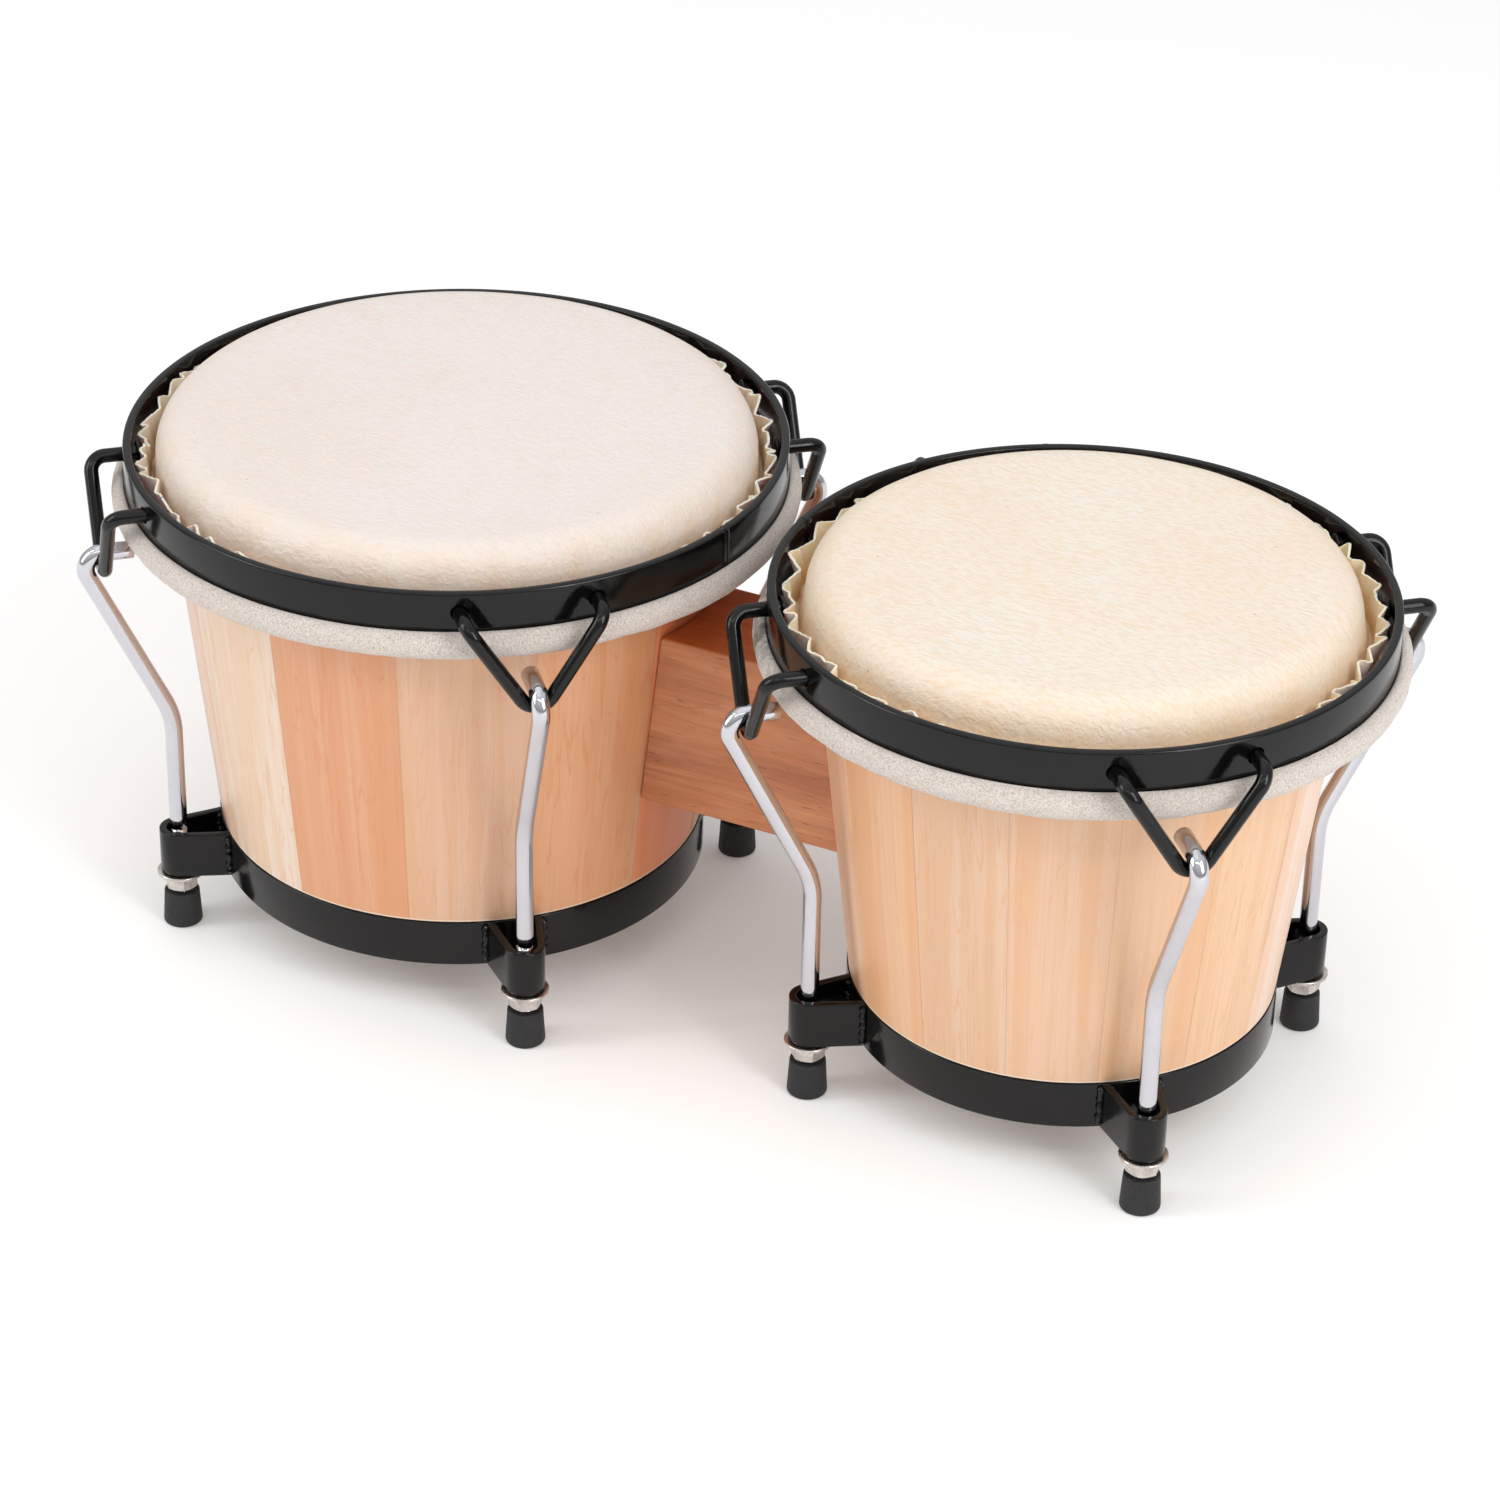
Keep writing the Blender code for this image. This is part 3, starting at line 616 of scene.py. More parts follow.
def piece(name, shape, finish, sharp_over=SHARP_OVER, **attributes):
    """A smooth object, sharp over an angle. An attribute has one or three numbers a point."""
    points, faces = shape
    mesh = bpy.data.meshes.new(name)
    mesh.from_pydata(points.tolist(), [], faces)
    for label, values in attributes.items():
        values = np.asarray(values, np.float32)
        kind = "FLOAT" if values.ndim == 1 else "FLOAT_VECTOR"
        made = mesh.attributes.new(label, kind, "POINT")
        made.data.foreach_set("value" if values.ndim == 1 else "vector", values.ravel())
    mesh.shade_smooth()
    mesh.set_sharp_from_angle(angle=radians(sharp_over))
    mesh.materials.append(finish)
    return linked(name, mesh)


def stand_for(made, node):
    """The piece takes a CAD node's place and rides on its body."""
    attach(made, NODE_BODY[node])
    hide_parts(node)


def fitted(name, node, shape, slot, sharp_over=SHARP_OVER, **attributes):
    """A piece in its slot's finish, in a CAD node's place."""
    stand_for(piece(name, shape, FINISHES[slot], sharp_over, **attributes), node)


def on_each_lug(drum, label, node, shape, slot, sharp_over):
    """A copy of a shape at each lug, in the CAD node of the same number."""
    size = drum.size
    for number, lug in enumerate(LUG_ANGLES, 1):
        place = moved(shape, drum, lug)
        fitted(f"{size}_{label}_{number}", f"{size}_{node}_{number}", place, slot, sharp_over)


def cut(made, cutters):
    """Cuts closed shapes out of a piece."""
    mesh = bpy.data.meshes.new("cutters")
    points, faces = joined(cutters)
    mesh.from_pydata(points.tolist(), [], faces)
    tool = linked("cutters", mesh)
    modifier = made.modifiers.new("cut", "BOOLEAN")
    modifier.object = tool
    modifier.operation = "DIFFERENCE"
    modifier.solver = "EXACT"
    graph = bpy.context.evaluated_depsgraph_get()
    result = bpy.data.meshes.new_from_object(made.evaluated_get(graph))
    made.modifiers.clear()
    made.data = result
    result.set_sharp_from_angle(angle=radians(SHARP_OVER))
    bpy.data.objects.remove(tool)


# ---- wooden shells
def shell_radius(drum, z):
    """Outer radius of the shell's cone at a height."""
    share = max(0, z - RING_TOP) / (CROWN_TOP - CROWN_ROUND - RING_TOP)
    return drum.shell_foot_r + share * (drum.shell_top_r - drum.shell_foot_r)


def shell_profile(drum):
    """(r, z) down the shell's outside and up its inside, and 1 for each point of its inside."""
    foot_r, in_ring_r = drum.shell_foot_r, drum.in_ring_r
    top_round = CROWN_ROUND - SKIN_ROOM
    centre = (drum.crown_r - CROWN_ROUND, CROWN_TOP - CROWN_ROUND)
    inner_foot = foot_r - SHELL_WALL
    inner_top = drum.shell_top_r - SHELL_WALL - 1 * MM
    crest = centre[1] + top_round
    edge = 0.8 * MM
    rebate_z = RING_TOP + 0.3 * MM
    outer = [(inner_top + 0.4 * MM, crest - 1.5 * MM), *round_arc(centre, top_round, 90, 0, 12)]
    outer += [(foot_r, rebate_z), (in_ring_r, rebate_z)]
    outer += [(in_ring_r, SHELL_BOTTOM + edge), (in_ring_r - edge, SHELL_BOTTOM)]
    inner = [(inner_foot + edge, SHELL_BOTTOM), (inner_foot, SHELL_BOTTOM + edge)]
    inner += [(inner_top, centre[1]), (inner_top, crest - 2.2 * MM)]
    outer = refined(np.array(outer), 6 * MM)
    inner = refined(np.array(inner), 6 * MM)
    return np.vstack([outer, inner]), np.repeat([0.0, 1.0], [len(outer), len(inner)])


def stave_tones(drum, draw):
    """A colour for each stave, from the first joint round the drum."""
    first, last = FIRST_TONES[drum.size], LAST_TONES[drum.size]
    middle = drum.stave_count - len(first) - len(last)
    picked = [MORE_TONES[draw.integers(len(MORE_TONES))] for _ in range(middle)]
    return np.array(first + picked + last)


def make_shell(drum):
    """Staves glued to a cone, each a little proud or shy, with a fine groove at the joints."""
    size, count = drum.size, drum.stave_count
    draw = np.random.default_rng(drum.seed)
    profile, inside = shell_profile(drum)
    width = 2 * pi / count
    groove = 0.15 * MM / drum.shell_top_r
    spots = np.array([0, groove, *np.linspace(0, width, 11)[1:-1], width - groove])
    staves = np.repeat(np.arange(count), len(spots))
    spots = np.tile(spots, count)
    angles = drum.first_joint + staves * width + spots

    grid = revolved(profile, angles)
    proud = draw.uniform(-0.05, 0.05, count)[staves] * MM
    shift = np.where(spots == 0, -0.07 * MM, proud)[None, :] * (1 - 2 * inside)[:, None]
    shift[profile[:, 1] < SHELL_BOTTOM + 0.1 * MM] = 0
    grid += shift[..., None] * away_from_axis(angles)

    rows = len(profile)
    middle = (drum.shell_top_r + drum.shell_foot_r) / 2 - SHELL_WALL / 2
    radii = np.repeat(profile[:, 0], len(angles))
    heights = np.repeat(profile[:, 1], len(angles))
    across = np.tile((spots - width / 2) * middle, rows)
    ends = np.tile(draw.uniform(-3, 3, count)[staves], rows)
    hearts = np.tile(draw.uniform(-0.02, 0.02, count)[staves], rows)
    figures = draw.uniform(0.1, 1.0, count)[staves]
    fitted(
        f"{size}_stave_shell",
        f"{size}_shell",
        moved(surface(grid, closed_rows=True), drum),
        "shell_wood",
        grain=np.stack([across + hearts, ends + radii, heights + ends], -1),
        tone=np.tile(stave_tones(drum, draw)[staves], (rows, 1)),
        inside=np.repeat(inside, len(angles)),
        figure=np.tile(figures, rows),
        joint=np.tile(np.minimum(spots, width - spots) * middle, rows),
    )


# ---- skins
def head_profile(drum):
    """(r, z) out over the skin and back under it, and each point's 0..1 towards the skirt."""
    crown_r = drum.crown_r
    steps = 14
    middle_r = 4 * MM
    round_z = CROWN_TOP - CROWN_ROUND
    centre = (crown_r - CROWN_ROUND, round_z)
    gutter_r = drum.hoop_r - 6.2 * MM
    skirt_r = drum.hoop_r - SKIRT_INSET
    top = [(r, CROWN_TOP) for r in np.linspace(middle_r, centre[0], steps + 1)[:-1]]
    top += round_arc(centre, CROWN_ROUND, 90, 0, steps)
    skirt = [top[-1], (skirt_r, GUTTER_Z), (gutter_r, GUTTER_Z), (gutter_r, GUTTER_Z - SKIN_THICK)]
    skirt += [(skirt_r - SKIN_THICK, GUTTER_Z - SKIN_THICK), (crown_r - SKIN_THICK, round_z)]
    skirt = refined(rounded(skirt, (0, 1.2 * MM, 0.5 * MM, 0.5 * MM, 1.5 * MM, 0), 4), 2 * MM)[1:-1]
    under = round_arc(centre, CROWN_ROUND - SKIN_THICK, 0, 90, steps)
    under += [(r, CROWN_TOP - SKIN_THICK) for r in np.linspace(centre[0], middle_r, steps + 1)[1:]]
    rim = np.concatenate([
        np.linspace(0, 0.5, len(top) - steps),
        np.linspace(0.5, 0.95, steps + 1)[1:],
        np.ones(len(skirt)),
        np.full(len(under), 0.6),
    ])
    return np.array([*top, *skirt, *under]), rim


def make_head(drum):
    """The stretched skin: flat crown, rounded edge, skirt, and the gutter that goes under the hoop."""
    size, seed = drum.size, drum.seed
    profile, rim = head_profile(drum)
    grid = revolved(profile, full_turn(240))
    flat = grid.reshape(-1, 3)
    rims = np.repeat(rim, grid.shape[1])
    level = np.hypot(flat[:, 0], flat[:, 1])
    slack = waves(flat, 28, seed) * 0.30 + waves(flat, 75, seed + 1) * 0.12
    bulge = slack * MM * np.clip((rims - 0.35) * 2.2, 0.12, 1)
    outwards = np.stack([flat[:, 0] / level, flat[:, 1] / level, np.zeros(len(flat))], -1)
    tilt = np.clip((rims - 0.5) / 0.45, 0, 1)[:, None] * pi / 2
    normal = outwards * np.sin(tilt) + np.array([0, 0, 1]) * np.cos(tilt)
    on_top = flat[:, 2] > CROWN_TOP - 2 * MM
    flat = flat + normal * np.where(on_top, np.minimum(bulge, 0.0), bulge)[:, None]
    shape = shifted(surface(flat.reshape(grid.shape), caps=True), (drum.x, 0, 0))
    finish = hide(f"{size}_hide", *HIDE_TONES[size])
    made = piece(f"{size}_rawhide_head", shape, finish, rim=[*rims, 0.0, 0.6])
    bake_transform(made)
    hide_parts(f"{size}_skin")


def pleat_path(draw, rim_length, width):
    """The folded edge as points (along the rim, way out, height): flat panels between close creases."""
    pitches = draw.uniform(8, 14, 100) * MM
    count = int(np.searchsorted(np.cumsum(pitches), rim_length))
    pitches = pitches[:count] * rim_length / pitches[:count].sum()
    corners = []
    for start, pitch in zip(np.cumsum(pitches) - pitches, pitches):
        skew = draw.choice((-1, 1)) * draw.uniform(0.15, 0.5)
        inner, outer = draw.uniform(0.08, 0.5) * width, draw.uniform(0.8, 1) * width
        tips = TRIM_TIP_Z + draw.uniform(-1.8, 1.4, 2) * MM
        corners.append((start + 0.25 * pitch, inner, tips[0]))
        corners.append((start + (0.75 + skew) * pitch, outer, tips[1]))
    corners = np.array(corners)
    seam = (corners[-1] - (rim_length, 0, 0) + corners[0]) / 2
    corners = np.vstack([seam, corners, seam + (rim_length, 0, 0)])
    legs = np.diff(corners, axis=0)
    lengths = np.linalg.norm(legs, axis=1)
    shorter = np.minimum(lengths[:-1], lengths[1:])
    turns = [acos(np.clip(unit(a) @ unit(b), -1, 1)) for a, b in zip(legs[:-1], legs[1:])]
    rooms = [0.42 * length / tan(turn / 2) for length, turn in zip(shorter, turns)]
    radii = [min(room, draw.uniform(0.9, 1.8) * MM) for room in rooms]
    return refined(rounded(corners, [0, *radii, 0], 5), 1.1 * MM)[:-1]


def clear_of_heads(angles, hoop_r):
    """0 behind the wires' heads, which stand inside the hoop, rising to 1 beside them."""
    head_turn = asin(WIRE_SPREAD / (hoop_r - HOOP_WALL))
    room = np.ones(len(angles))
    for lug in LUG_ANGLES:
        for side in (-1, 1):
            apart = turn_between(angles, lug + side * head_turn) * hoop_r
            room = np.minimum(room, np.clip((apart - 5 * MM) / (3 * MM), 0, 1))
    return room


def make_trimmed_edge(drum):
    """The skin's trimmed edge, gathered into pleats that stand up inside the hoop."""
    size, hoop_r = drum.size, drum.hoop_r
    draw = np.random.default_rng(drum.seed + 20)
    inner_r = drum.crown_r + 0.8 * MM
    width = hoop_r - HOOP_WALL - 0.6 * MM - inner_r
    base_r = hoop_r - 8.8 * MM
    path = pleat_path(draw, 2 * pi * base_r, width)
    count = len(path)
    at_top = path[:, 0] / base_r
    at_foot = at_top[0] + np.arange(count) / count * 2 * pi
    behind_head = {"large": 0.43, "small": 0.53}[size]
    furthest = behind_head + (1 - behind_head) * clear_of_heads(at_top, hoop_r)
    out = np.minimum(path[:, 1] / width, furthest)
    # The edge stands lowest at 64 degrees clockwise from +X.
    facing = np.clip(np.cos(at_top + radians(64)), 0, 1)
    top_z = path[:, 2] - 3.2 * MM * facing**4 + draw.normal(0, 0.12, count) * MM
    levels = np.array([*np.linspace(0, 0.97, 9), 1.0])
    rows = []
    for level in levels:
        opened = level**0.9
        angle = at_foot * (1 - opened) + at_top * opened
        r = base_r * (1 - opened) + (inner_r + width * out) * opened
        z = TRIM_FOOT_Z + level * (top_z - TRIM_FOOT_Z)
        rows.append(np.stack([r * np.cos(angle), r * np.sin(angle), z], -1))
    sheet = np.array(rows)
    run = np.roll(sheet, -1, axis=1) - np.roll(sheet, 1, axis=1)
    normal = np.cross(run, np.gradient(sheet, axis=0))
    normal /= np.linalg.norm(normal, axis=2)[..., None]
    ring = np.concatenate([sheet + normal * TRIM_THICK / 2, (sheet - normal * TRIM_THICK / 2)[::-1]])
    both = np.concatenate([levels, levels[::-1]])
    made = piece(
        f"{size}_trimmed_edge",
        surface(ring + (drum.x, 0, 0), closed_rows=True),
        trimmed_hide(f"{size}_trimmed_hide", *TRIM_TONES[size]),
        sharp_over=60,
        # depth is 1 at the pleats' foot, where the material paints amber shade.
        depth=np.repeat(1 - both, count),
        flesh=np.repeat([1.0, 0.0], len(levels) * count),
        edge=np.repeat(both > 0.98, count).astype(float),
    )
    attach(made, drum.frame)
    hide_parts(f"{size}_skin")


def smudges(points, size):
    """0..1 of painted shade on the roll's upper side next to the hoop: the small drum's left, and faintly the
    lugs.
    """
    trace = 0.15
    azimuth = np.arctan2(points[:, 1], points[:, 0])
    at_lugs = np.max([swell(turn_between(azimuth, lug), radians(9)) for lug in LUG_ANGLES], axis=0)
    on_left = swell(azimuth + radians(160), radians(24))
    amount = np.maximum(at_lugs * trace, on_left * {"large": trace, "small": 1.0}[size])
    high = np.clip((points[:, 2] - 157 * MM) / (5 * MM), 0, 1)
    return np.clip(amount * high * 1.2, 0, 1)


def make_rolled_edge(drum):
    """The skin rolled round its flesh hoop, suede side out, with a crevice for the steel hoop."""
    size, hoop_r, seed = drum.size, drum.hoop_r, drum.seed
    centre = (hoop_r - 1.2 * MM, ROLL_Z)
    inner_r = hoop_r - HOOP_WALL
    floor_z = HOOP_BOTTOM - 0.3 * MM
    profile = round_arc(centre, ROLL_RADIUS, 30, -210, 40)
    profile += [(inner_r - 1.1 * MM, 162.4 * MM), (inner_r - 0.1 * MM, 161.2 * MM)]
    profile += [(inner_r - 0.2 * MM, floor_z), (hoop_r + 0.2 * MM, floor_z), (hoop_r + 0.05 * MM, 163.0 * MM)]
    profile += [(hoop_r + 0.5 * MM, 163.6 * MM), (hoop_r + 1.8 * MM, 163.4 * MM)]
    profile = refined(np.array(profile), 1.2 * MM, closed=True)
    grid = revolved(profile, full_turn(360))
    flat = grid.reshape(-1, 3)
    level = np.hypot(flat[:, 0], flat[:, 1])
    away = np.stack([level - centre[0], flat[:, 2] - centre[1]], -1)
    away /= np.linalg.norm(away, axis=1)[:, None]
    soft = waves(flat, 70, seed + 3) * 0.35 + waves(flat, 260, seed + 4) * 0.22
    under_hoop = np.abs(level - hoop_r + HOOP_WALL / 2) < HOOP_WALL / 2 + 0.6 * MM
    soft = np.where(under_hoop & (flat[:, 2] > ROLL_Z), 0, soft) * MM
    outwards = flat[:, :2] / level[:, None]
    flat[:, :2] += outwards * away[:, :1] * soft[:, None]
    flat[:, 2] += away[:, 1] * soft
    shape = surface(grid + (drum.x, 0, 0), closed_rows=True)
    # Painted shade on the roll's upper side, next to the hoop.
    crevice_shading = smudges(flat, size)
    fitted(f"{size}_rolled_edge", f"{size}_flesh_hoop", shape, "rolled_hide", 70, smudge=crevice_shading)


# ---- steel hoops, loops and rods
def make_hoop(drum):
    """A rolled flat band with softened edges, a ground weld across it and two holes at each lug."""
    size, outer = drum.size, drum.hoop_r
    inner = outer - HOOP_WALL
    profile = rectangle(inner, outer, HOOP_BOTTOM, HOOP_TOP, np.array([0.9, 0.5, 0.5, 0.8]) * MM, 5)
    seam = radians({"large": -9.5, "small": 180.0}[size])
    beside = np.linspace(-2.4, 2.4, 25) * MM / outer
    rest = np.linspace(beside[-1], 2 * pi + beside[0], 241)[1:-1]
    angles = seam + np.concatenate([beside, rest])
    apart = np.concatenate([beside, np.full(len(rest), 1.0)]) * outer
    bead = 0.35 * MM * swell(np.abs(apart) - 1.0 * MM, 0.45 * MM) - 0.45 * MM * swell(apart, 0.35 * MM)
    outer_side = np.clip((profile[:, 0] - inner - HOOP_WALL / 2) / (HOOP_WALL / 2), -1, 1)
    shift = outer_side[:, None] * bead[None, :]
    grid = revolved(profile, angles)
    grid += shift[..., None] * away_from_axis(angles)
    at_rim = profile[:, 1] > HOOP_TOP - 0.5 * MM
    grid[..., 2] += at_rim[:, None] * np.minimum(bead * 2.2, 0)[None, :]
    made = piece(f"{size}_steel_hoop", moved(surface(grid, closed_rows=True), drum), FINISHES["black_steel"])
    path = np.array([(outer - 12 * MM, 0, 0), (outer + 8 * MM, 0, 0)])
    pin = surface(tube_rows(path, [WIRE_HOLE_R] * 2, 32), caps=True)
    cut(made, [
        moved(shifted(pin, (0, side * WIRE_SPREAD, WIRE_HOLE_Z)), drum, lug)
        for lug in LUG_ANGLES
        for side in (-1, 1)
    ])
    stand_for(made, f"{size}_hoop")


def make_wire_loops(drum):
    """V-shaped wires hooked through the hoop, with flattened heads inside it."""
    facet = sqrt((drum.hoop_r - HOOP_WALL) ** 2 - WIRE_SPREAD**2)
    head_out = facet - 0.3 * MM - 3.8 * MM * WIRE_SPREAD / drum.hoop_r
    head_in = head_out - 1.3 * MM
    out = drum.hoop_r + LOOP_OUT
    rise = WIRE_HOLE_Z - LOOP_FOOT_Z - HOOK_BEND
    half_angle = atan2(WIRE_SPREAD, rise) - asin(HOOK_BEND / hypot(WIRE_SPREAD, rise))
    foot = WIRE_HOLE_Z - WIRE_SPREAD / tan(half_angle)
    near, far = (-WIRE_SPREAD, WIRE_HOLE_Z), (WIRE_SPREAD, WIRE_HOLE_Z)
    corners = [(head_out, *near), (out, *near), (out, 0, foot), (out, *far), (head_out, *far)]
    path = refined(rounded(corners, (0, 5 * MM, HOOK_BEND, 5 * MM, 0), 14), 4 * MM)
    # Each head's outline in millimetres: from its inner face, and its radius there.
    stations = [(0.0, 2.6), (0.15, 3.5), (0.45, 3.8), (0.95, 3.8), (1.25, 3.45), (1.3, 2.45)]
    first = [(head_in + x * MM, *near) for x, _ in stations]
    last = [(head_in + x * MM, *far) for x, _ in reversed(stations)]
    heads = [r * MM for _, r in stations]
    radii = heads + [WIRE_R] * (len(path) - 2) + heads[::-1]
    points = np.array(first + list(path[1:-1]) + last)
    shape = surface(tube_rows(points, radii, 20), caps=True)
    on_each_lug(drum, "wire_loop", "hook_loop", shape, "black_steel", 50)


def rod_centre_line(drum):
    """The rod's centre line in its lug's plane: stub, hook, slant, crank and upright."""
    hook = np.array([drum.hoop_r + LOOP_OUT, LOOP_FOOT_Z])
    crank = np.array([drum.rod_r, CRANK_Z])
    reach = hook - crank
    slant = atan2(reach[0], reach[1]) + asin(HOOK_BEND / np.linalg.norm(reach))
    stub = [(hook[0] - 10 * MM, hook[1] + HOOK_BEND)]
    hooked = round_arc(hook, HOOK_BEND, 90, -degrees(slant), 16)
    straight = rounded([hooked[-1], crank, (drum.rod_r, drum.thread_top)], (0, 30 * MM, 0), 12)
    line = np.array(stub + hooked + [tuple(point) for point in straight[1:]])
    return refined(line, 5 * MM)


def threaded(rows, path):
    """Rings about an upright path, turned to a thread."""
    around = rows - path[:, None]
    azimuth = np.arctan2(around[..., 1], around[..., 0])
    turn = (rows[..., 2] / THREAD_PITCH - azimuth / (2 * pi)) % 1
    flank = np.clip((1 - np.abs(2 * turn - 1)) * 1.3 - 0.12, 0, 1)
    radius = THREAD_INNER + (THREAD_OUTER - THREAD_INNER) * flank
    return path[:, None] + around * (radius / THREAD_INNER)[..., None]


def make_rods(drum):
    """A bright hooked rod, cranked halfway down, with a real M6 thread at its foot."""
    rod_r, thread_top = drum.rod_r, drum.thread_top
    line = rod_centre_line(drum)
    levels = np.append(np.arange(thread_top - 0.8 * MM, 5.6 * MM, -0.14 * MM), 5 * MM)
    line = np.vstack([line[0], line[0] + (ROD_CHAMFER, 0), line[1:], (rod_r, thread_top - 0.6 * MM)])
    radii = [ROD_R - ROD_CHAMFER] + [ROD_R] * (len(line) - 2)
    radii += [THREAD_INNER + 0.1 * MM] + [THREAD_INNER] * len(levels)
    line = np.vstack([line, [(rod_r, z) for z in levels]])
    path = np.stack([line[:, 0], np.zeros(len(line)), line[:, 1]], -1)
    rows = tube_rows(path, radii, 18)
    thread = slice(len(path) - len(levels), len(path) - 1)
    rows[thread] = threaded(rows[thread], path[thread])
    on_each_lug(drum, "hooked_rod", "tension_rod", surface(rows, caps=True), "chrome", 50)


# ---- bottom rings and their hardware
def strap(path, thick, low, high, edge):
    """A flat strip on edge along a level path."""
    section = rectangle(-thick / 2, thick / 2, low, high, edge, 4)
    run = np.gradient(path, axis=0)
    run /= np.linalg.norm(run, axis=1)[:, None]
    side = np.stack([run[:, 1], -run[:, 0]], -1)
    rows = np.empty((len(path), len(section), 3))
    rows[..., :2] = path[:, None] + side[:, None] * section[None, :, :1]
    rows[..., 2] = section[:, 1]
    return surface(rows, caps=True)


def weld_bead(draw, outer, reach, side, number):
    """An uneven weld up the corner of a band and an ear's leg, reach from the ear's middle."""
    heights = np.linspace(RING_BOTTOM + 1.2 * MM, RING_TOP - 0.8 * MM, 24)
    wander = draw.normal(0, 0.16, (len(heights), 2)) * MM
    x = sqrt(outer**2 - reach**2) + 0.5 * MM
    path = np.stack([x + wander[:, 0], side * reach + wander[:, 1], heights], -1)
    radii = (1.15 + 0.25 * np.sin(heights * 1900 + number)) * MM
    radii[0] = radii[-1] = 0.5 * MM
    return surface(tube_rows(path, radii, 10), caps=True)


def make_bottom_ring(drum):
    """The steel band round the shell's foot, with four strap ears welded on for the rods."""
    size, outer, rod_r = drum.size, drum.ring_r, drum.rod_r
    band = turned(rectangle(outer - RING_WALL, outer, RING_BOTTOM, RING_TOP, 0.45 * MM, 4), 240)
    fitted(f"{size}_ring_band", f"{size}_bottom_ring", moved(band, drum), "black_steel")
    nose = EAR_NOSE - EAR_WALL / 2
    foot = (outer - RING_WALL / 2, EAR_SPREAD - EAR_WALL / 2)
    lean = degrees(atan2(foot[1] - nose, rod_r - foot[0]))
    plan = [foot, *round_arc((rod_r, 0), nose, 90 - lean, lean - 90, 24), (foot[0], -foot[1])]
    plan = refined(np.array(plan), 2 * MM)
    ear = strap(plan, EAR_WALL, RING_BOTTOM, RING_TOP, 0.55 * MM)
    draw = np.random.default_rng(drum.seed + 40)
    reaches = (EAR_SPREAD + 0.3 * MM, EAR_SPREAD - EAR_WALL - 0.6 * MM)
    for number, lug in enumerate(LUG_ANGLES, 1):
        beads = [weld_bead(draw, outer, reach, side, number) for side in (-1, 1) for reach in reaches]
        shape = moved(joined([ear, *beads]), drum, lug)
        fitted(f"{size}_ring_ear_{number}", f"{size}_bottom_ring", shape, "black_steel")


def hexagon(flats, low, high, bore, sides=72):
    """A nut or, with no bore, a bolt's head, its corners turned down on both faces."""
    angles = full_turn(sides)
    off_corner = (angles + pi / 6) % (pi / 3) - pi / 6
    reach = flats / 2 / np.cos(off_corner)
    drop = (reach - flats / 2 * 0.98) * tan(radians(30))
    face_r = np.full(sides, flats / 2 * 0.96)
    bevel = 0.35 * MM

    def ring(radius, height):
        height = np.broadcast_to(height, angles.shape)
        return np.stack([radius * np.cos(angles), radius * np.sin(angles), height], -1)

    rows = [ring(face_r, low), ring(reach, low + drop), ring(reach, high - drop), ring(face_r, high)]
    if bore:
        rows += [ring(bore + bevel, high), ring(bore, high - bevel)]
        rows += [ring(bore, low + bevel), ring(bore + bevel, low)]
    return surface(np.array(rows), closed_rows=bool(bore), caps=not bore)


def make_lug_hardware(drum):
    """Washer, nut and rubber foot on each rod."""
    edges = np.array([0.45, 0.25, 0.15, 0.15]) * MM
    washer = rectangle(WASHER_BORE, WASHER_R, WASHER_BOTTOM, WASHER_TOP, edges, 4)
    nut = hexagon(NUT_FLATS, NUT_BOTTOM, NUT_TOP, NUT_BORE)
    foot = [(0.2, 0.5), (3.4, 0.5), (4.0, 0), (6.7, 0), (5.95, 12.8), (3.1, 12.8), (3.1, 4.6), (0.2, 4.6)]
    foot = rounded(np.array(foot) * MM, np.array([0, 0.2, 0.2, 1.1, 0.7, 0.3, 0, 0]) * MM)
    for label, node, shape, slot in (
        ("flat_washer", "washer", turned(washer, 64), "plated_steel"),
        ("hex_nut", "nut", nut, "plated_steel"),
        ("rubber_foot", "foot", turned(foot, 64, closed=False), "rubber"),
    ):
        on_each_lug(drum, label, node, shifted(shape, (drum.rod_r, 0, 0)), slot, 30)


# ---- block and its bolts
def make_block():
    """The block, its ends scribed to the two cones, with softened edges."""
    low, high = BLOCK_LOW, BLOCK_HIGH
    loop = refined(rectangle(low.y, high.y, low.z, high.z, 1.1 * MM, 5), 2.5 * MM, closed=True)
    middle = np.array([(low.y + high.y) / 2, (low.z + high.z) / 2])
    edge = 0.5 * MM
    shares = np.linspace(0.08, 1 - edge / (high.y - middle[0]), 9)

    def end(drum, side, inset, spread):
        section = middle + (loop - middle) * spread
        radii = np.array([shell_radius(drum, z) for z in section[:, 1]]) + SCRIBE_GAP + inset
        x = drum.x + side * np.sqrt(radii**2 - section[:, 0] ** 2)
        return np.column_stack([x, section])

    rows, other = (
        [end(drum, side, 0, share) for share in shares] + [end(drum, side, edge, 1)]
        for drum, side in zip(DRUMS, (1, -1))
    )
    rows += [rows[-1] + (other[-1] - rows[-1]) * step / 12 for step in range(1, 12)]
    rows += other[::-1]
    fitted("scribed_block", "centre_block", surface(np.array(rows), caps=True), "block_wood")


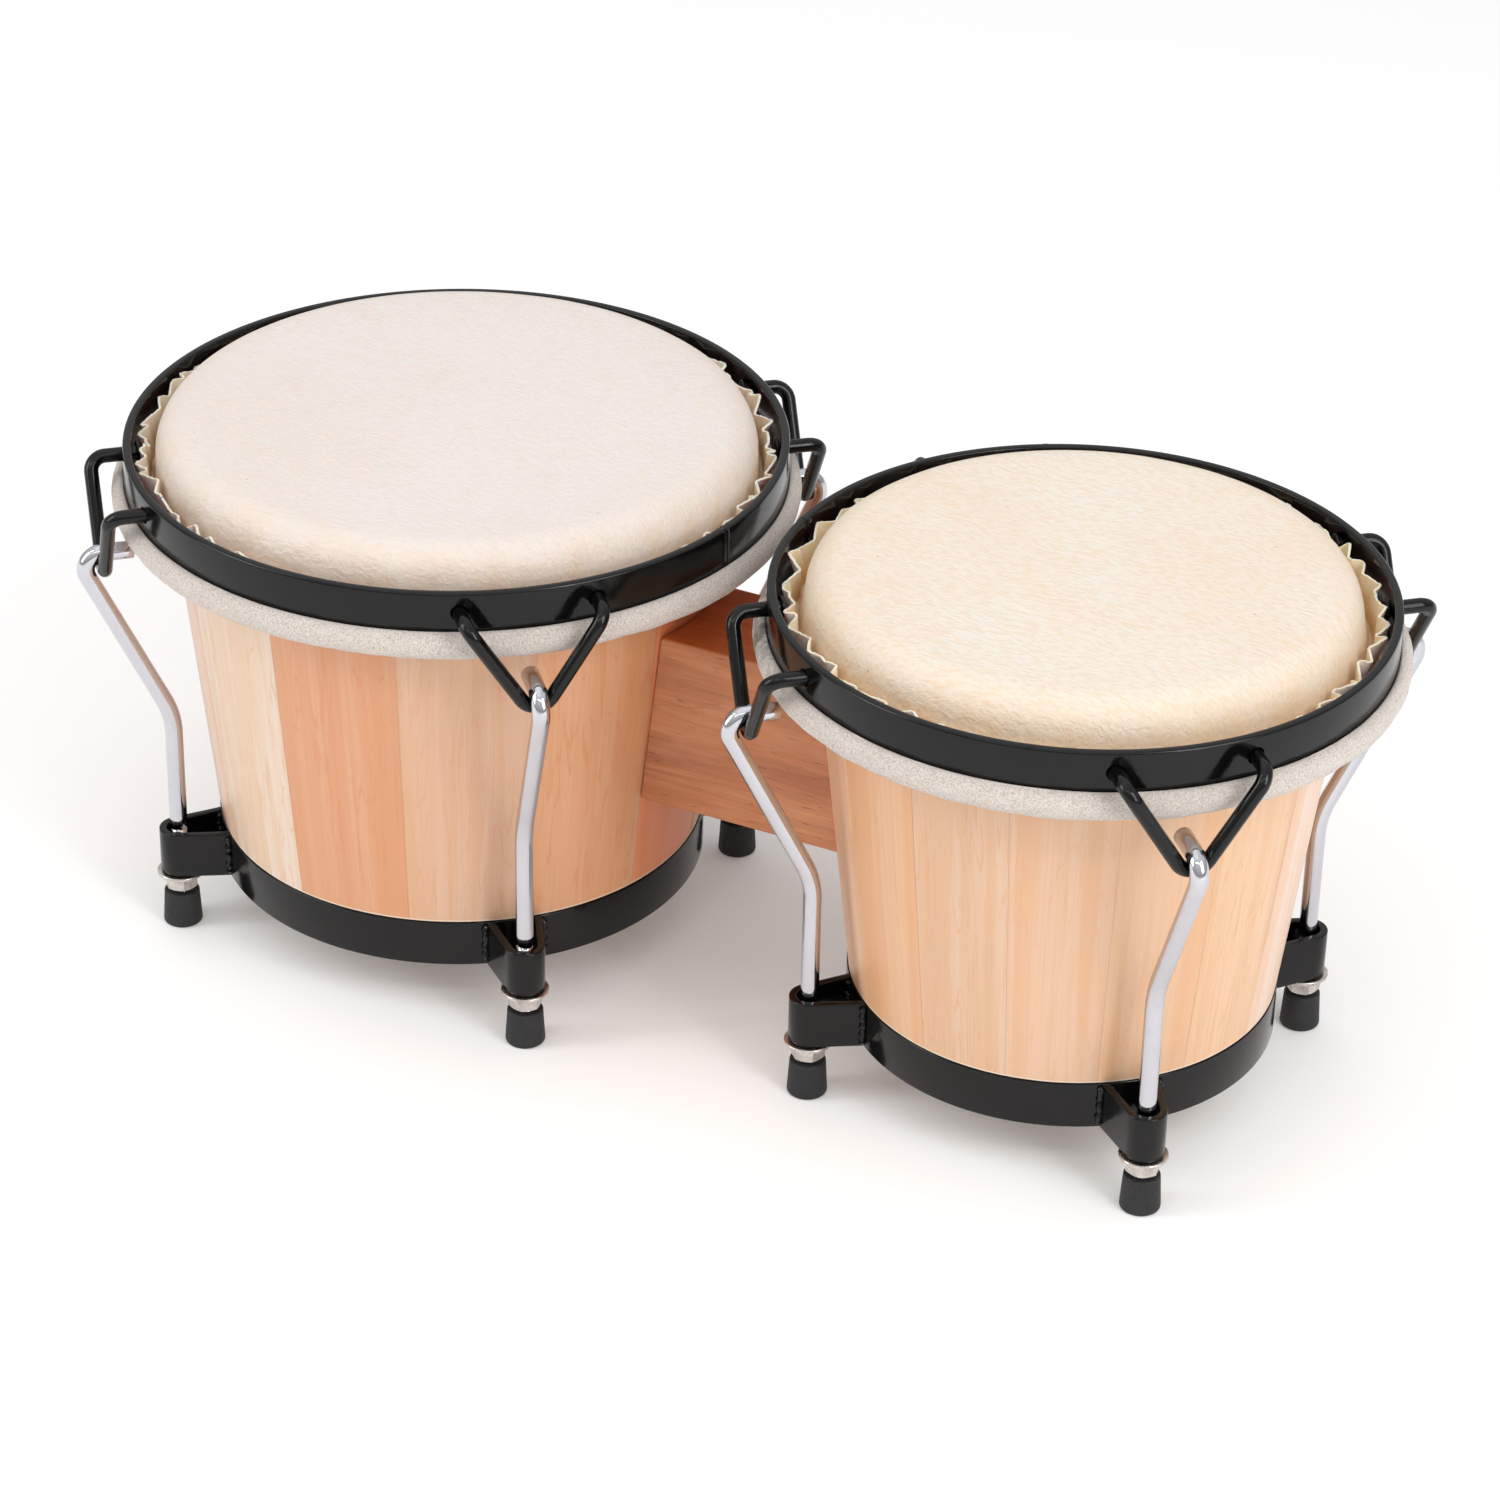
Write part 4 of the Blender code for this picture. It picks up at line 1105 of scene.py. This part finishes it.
def make_block_bolts(drum):
    """Hexagon bolts and washers that hold the block, inside the shell."""
    size = drum.size
    inward = 1 if size == "large" else -1
    onto_x = np.array(Matrix.Rotation(inward * pi / 2, 3, "Y"))
    washer = turned(rectangle(3.2 * MM, WASHER_R, -1.4 * MM, 0, 0.3 * MM, 3), 64)
    for height in ("upper", "lower"):
        washer_low, washer_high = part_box(f"block_washer_{size}_{height}")
        bolt_low, bolt_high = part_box(f"block_bolt_{size}_{height}")
        y = (washer_low.y + washer_high.y) / 2
        z = (washer_low.z + washer_high.z) / 2
        outer_face = washer_high.x if inward > 0 else washer_low.x
        tip, head = (bolt_high.x, bolt_low.x) if inward > 0 else (bolt_low.x, bolt_high.x)
        along = abs(tip - head)
        shape = shifted((washer[0] @ onto_x.T, washer[1]), (outer_face, y, z))
        fitted(f"flat_washer_{size}_{height}", f"block_washer_{size}_{height}", shape, "plated_steel", 30)
        axis = 0.2 * MM
        shank = [(axis, 0.0), (BOLT_R, 0.0), (BOLT_R, along - 1 * MM), (2.3 * MM, along), (axis, along)]
        points, faces = joined([hexagon(BOLT_FLATS, 0, BOLT_HEAD, 0), turned(shank, 24, closed=False)])
        shape = shifted((points @ onto_x.T, faces), (head, y, z))
        fitted(f"hex_bolt_{size}_{height}", f"block_bolt_{size}_{height}", shape, "plated_steel", 30)


for each in DRUMS:
    make_shell(each)
    make_head(each)
    make_trimmed_edge(each)
    make_rolled_edge(each)
    make_hoop(each)
    make_wire_loops(each)
    make_rods(each)
    make_bottom_ring(each)
    make_lug_hardware(each)
    make_block_bolts(each)
make_block()


# ---- studio
def make_floor():
    """A wide pale floor."""
    paper = Shader(
        "floor_paper",
        roughness=0.9,
        specular_ior_level=0.1,
        base_color=(0.90, 0.90, 0.90),
        emission_color=(1.0, 1.0, 1.0),
        emission_strength=0.10,
    )
    mesh = bpy.data.meshes.new("floor")
    mesh.from_pydata([(-6, -6, 0), (6, -6, 0), (6, 6, 0), (-6, 6, 0)], [], [(0, 1, 2, 3)])
    mesh.materials.append(paper.material)
    linked("floor", mesh)


# Each light's name, place, width and height in metres, and watts.
SOFTBOXES = (
    ("overhead", (-0.2, -0.1, 1.7), (1.6, 1.2), 2),
    ("left_box", (-1.4, -1.1, 0.9), (0.9, 1.2), 8.5),
    ("right_box", (1.4, -0.5, 1.0), (0.8, 1.2), 11),
    ("front_strip", (0.45, -1.1, 1.45), (1.8, 0.03), 2.4),
    ("left_strip", (-0.95, -0.75, 1.0), (0.03, 1.1), 1.8),
    ("right_strip", (1.2, -0.6, 0.9), (0.03, 1.0), 1.8),
)
LIT_SPOT = Vector((0, 0, 0.1))


def make_lights():
    """Softboxes aimed at the drums."""
    for name, place, size, watts in SOFTBOXES:
        light = bpy.data.lights.new(name, "AREA")
        light.shape = "RECTANGLE"
        light.size, light.size_y = size
        light.energy = watts
        lamp = linked(name, light)
        lamp.location = place
        lamp.rotation_euler = (LIT_SPOT - Vector(place)).to_track_quat("-Z", "Y").to_euler()


def make_world():
    """White surroundings, brighter from above."""
    world = bpy.data.worlds.new("studio")
    world.use_nodes = True
    nodes, links = world.node_tree.nodes, world.node_tree.links
    background = nodes["Background"]
    kinds = ("TexCoord", "SeparateXYZ", "MapRange")
    direction, split, rise = (nodes.new(f"ShaderNode{kind}") for kind in kinds)
    links.new(direction.outputs["Generated"], split.inputs[0])
    links.new(split.outputs["Z"], rise.inputs["Value"])
    links.new(rise.outputs["Result"], background.inputs["Strength"])
    for socket, value in (("From Min", 0.05), ("From Max", 0.75), ("To Min", 0.42), ("To Max", 0.85)):
        rise.inputs[socket].default_value = value
    background.inputs["Color"].default_value = (1, 1, 1, 1)
    bpy.context.scene.world = world
    bpy.context.scene.view_settings.view_transform = "Standard"


def make_camera():
    """The photograph's viewing angle, from the front right and above."""
    camera = linked("camera", bpy.data.cameras.new("camera"))
    azimuth, elevation, distance, roll = 0.45061, 0.54119, 1.57954, 0.02137
    target = Vector((0.00593, -0.00689, 0.09))
    back = Vector((
        sin(azimuth) * cos(elevation),
        -cos(azimuth) * cos(elevation),
        sin(elevation),
    ))
    aim = (-back).to_track_quat("-Z", "Y").to_matrix().to_4x4()
    camera.matrix_world = Matrix.Translation(target + back * distance) @ aim @ Matrix.Rotation(roll, 4, "Z")
    camera.data.lens = 114.97
    camera.data.sensor_width = 36
    bpy.context.scene.camera = camera


make_floor()
make_world()
make_lights()
make_camera()
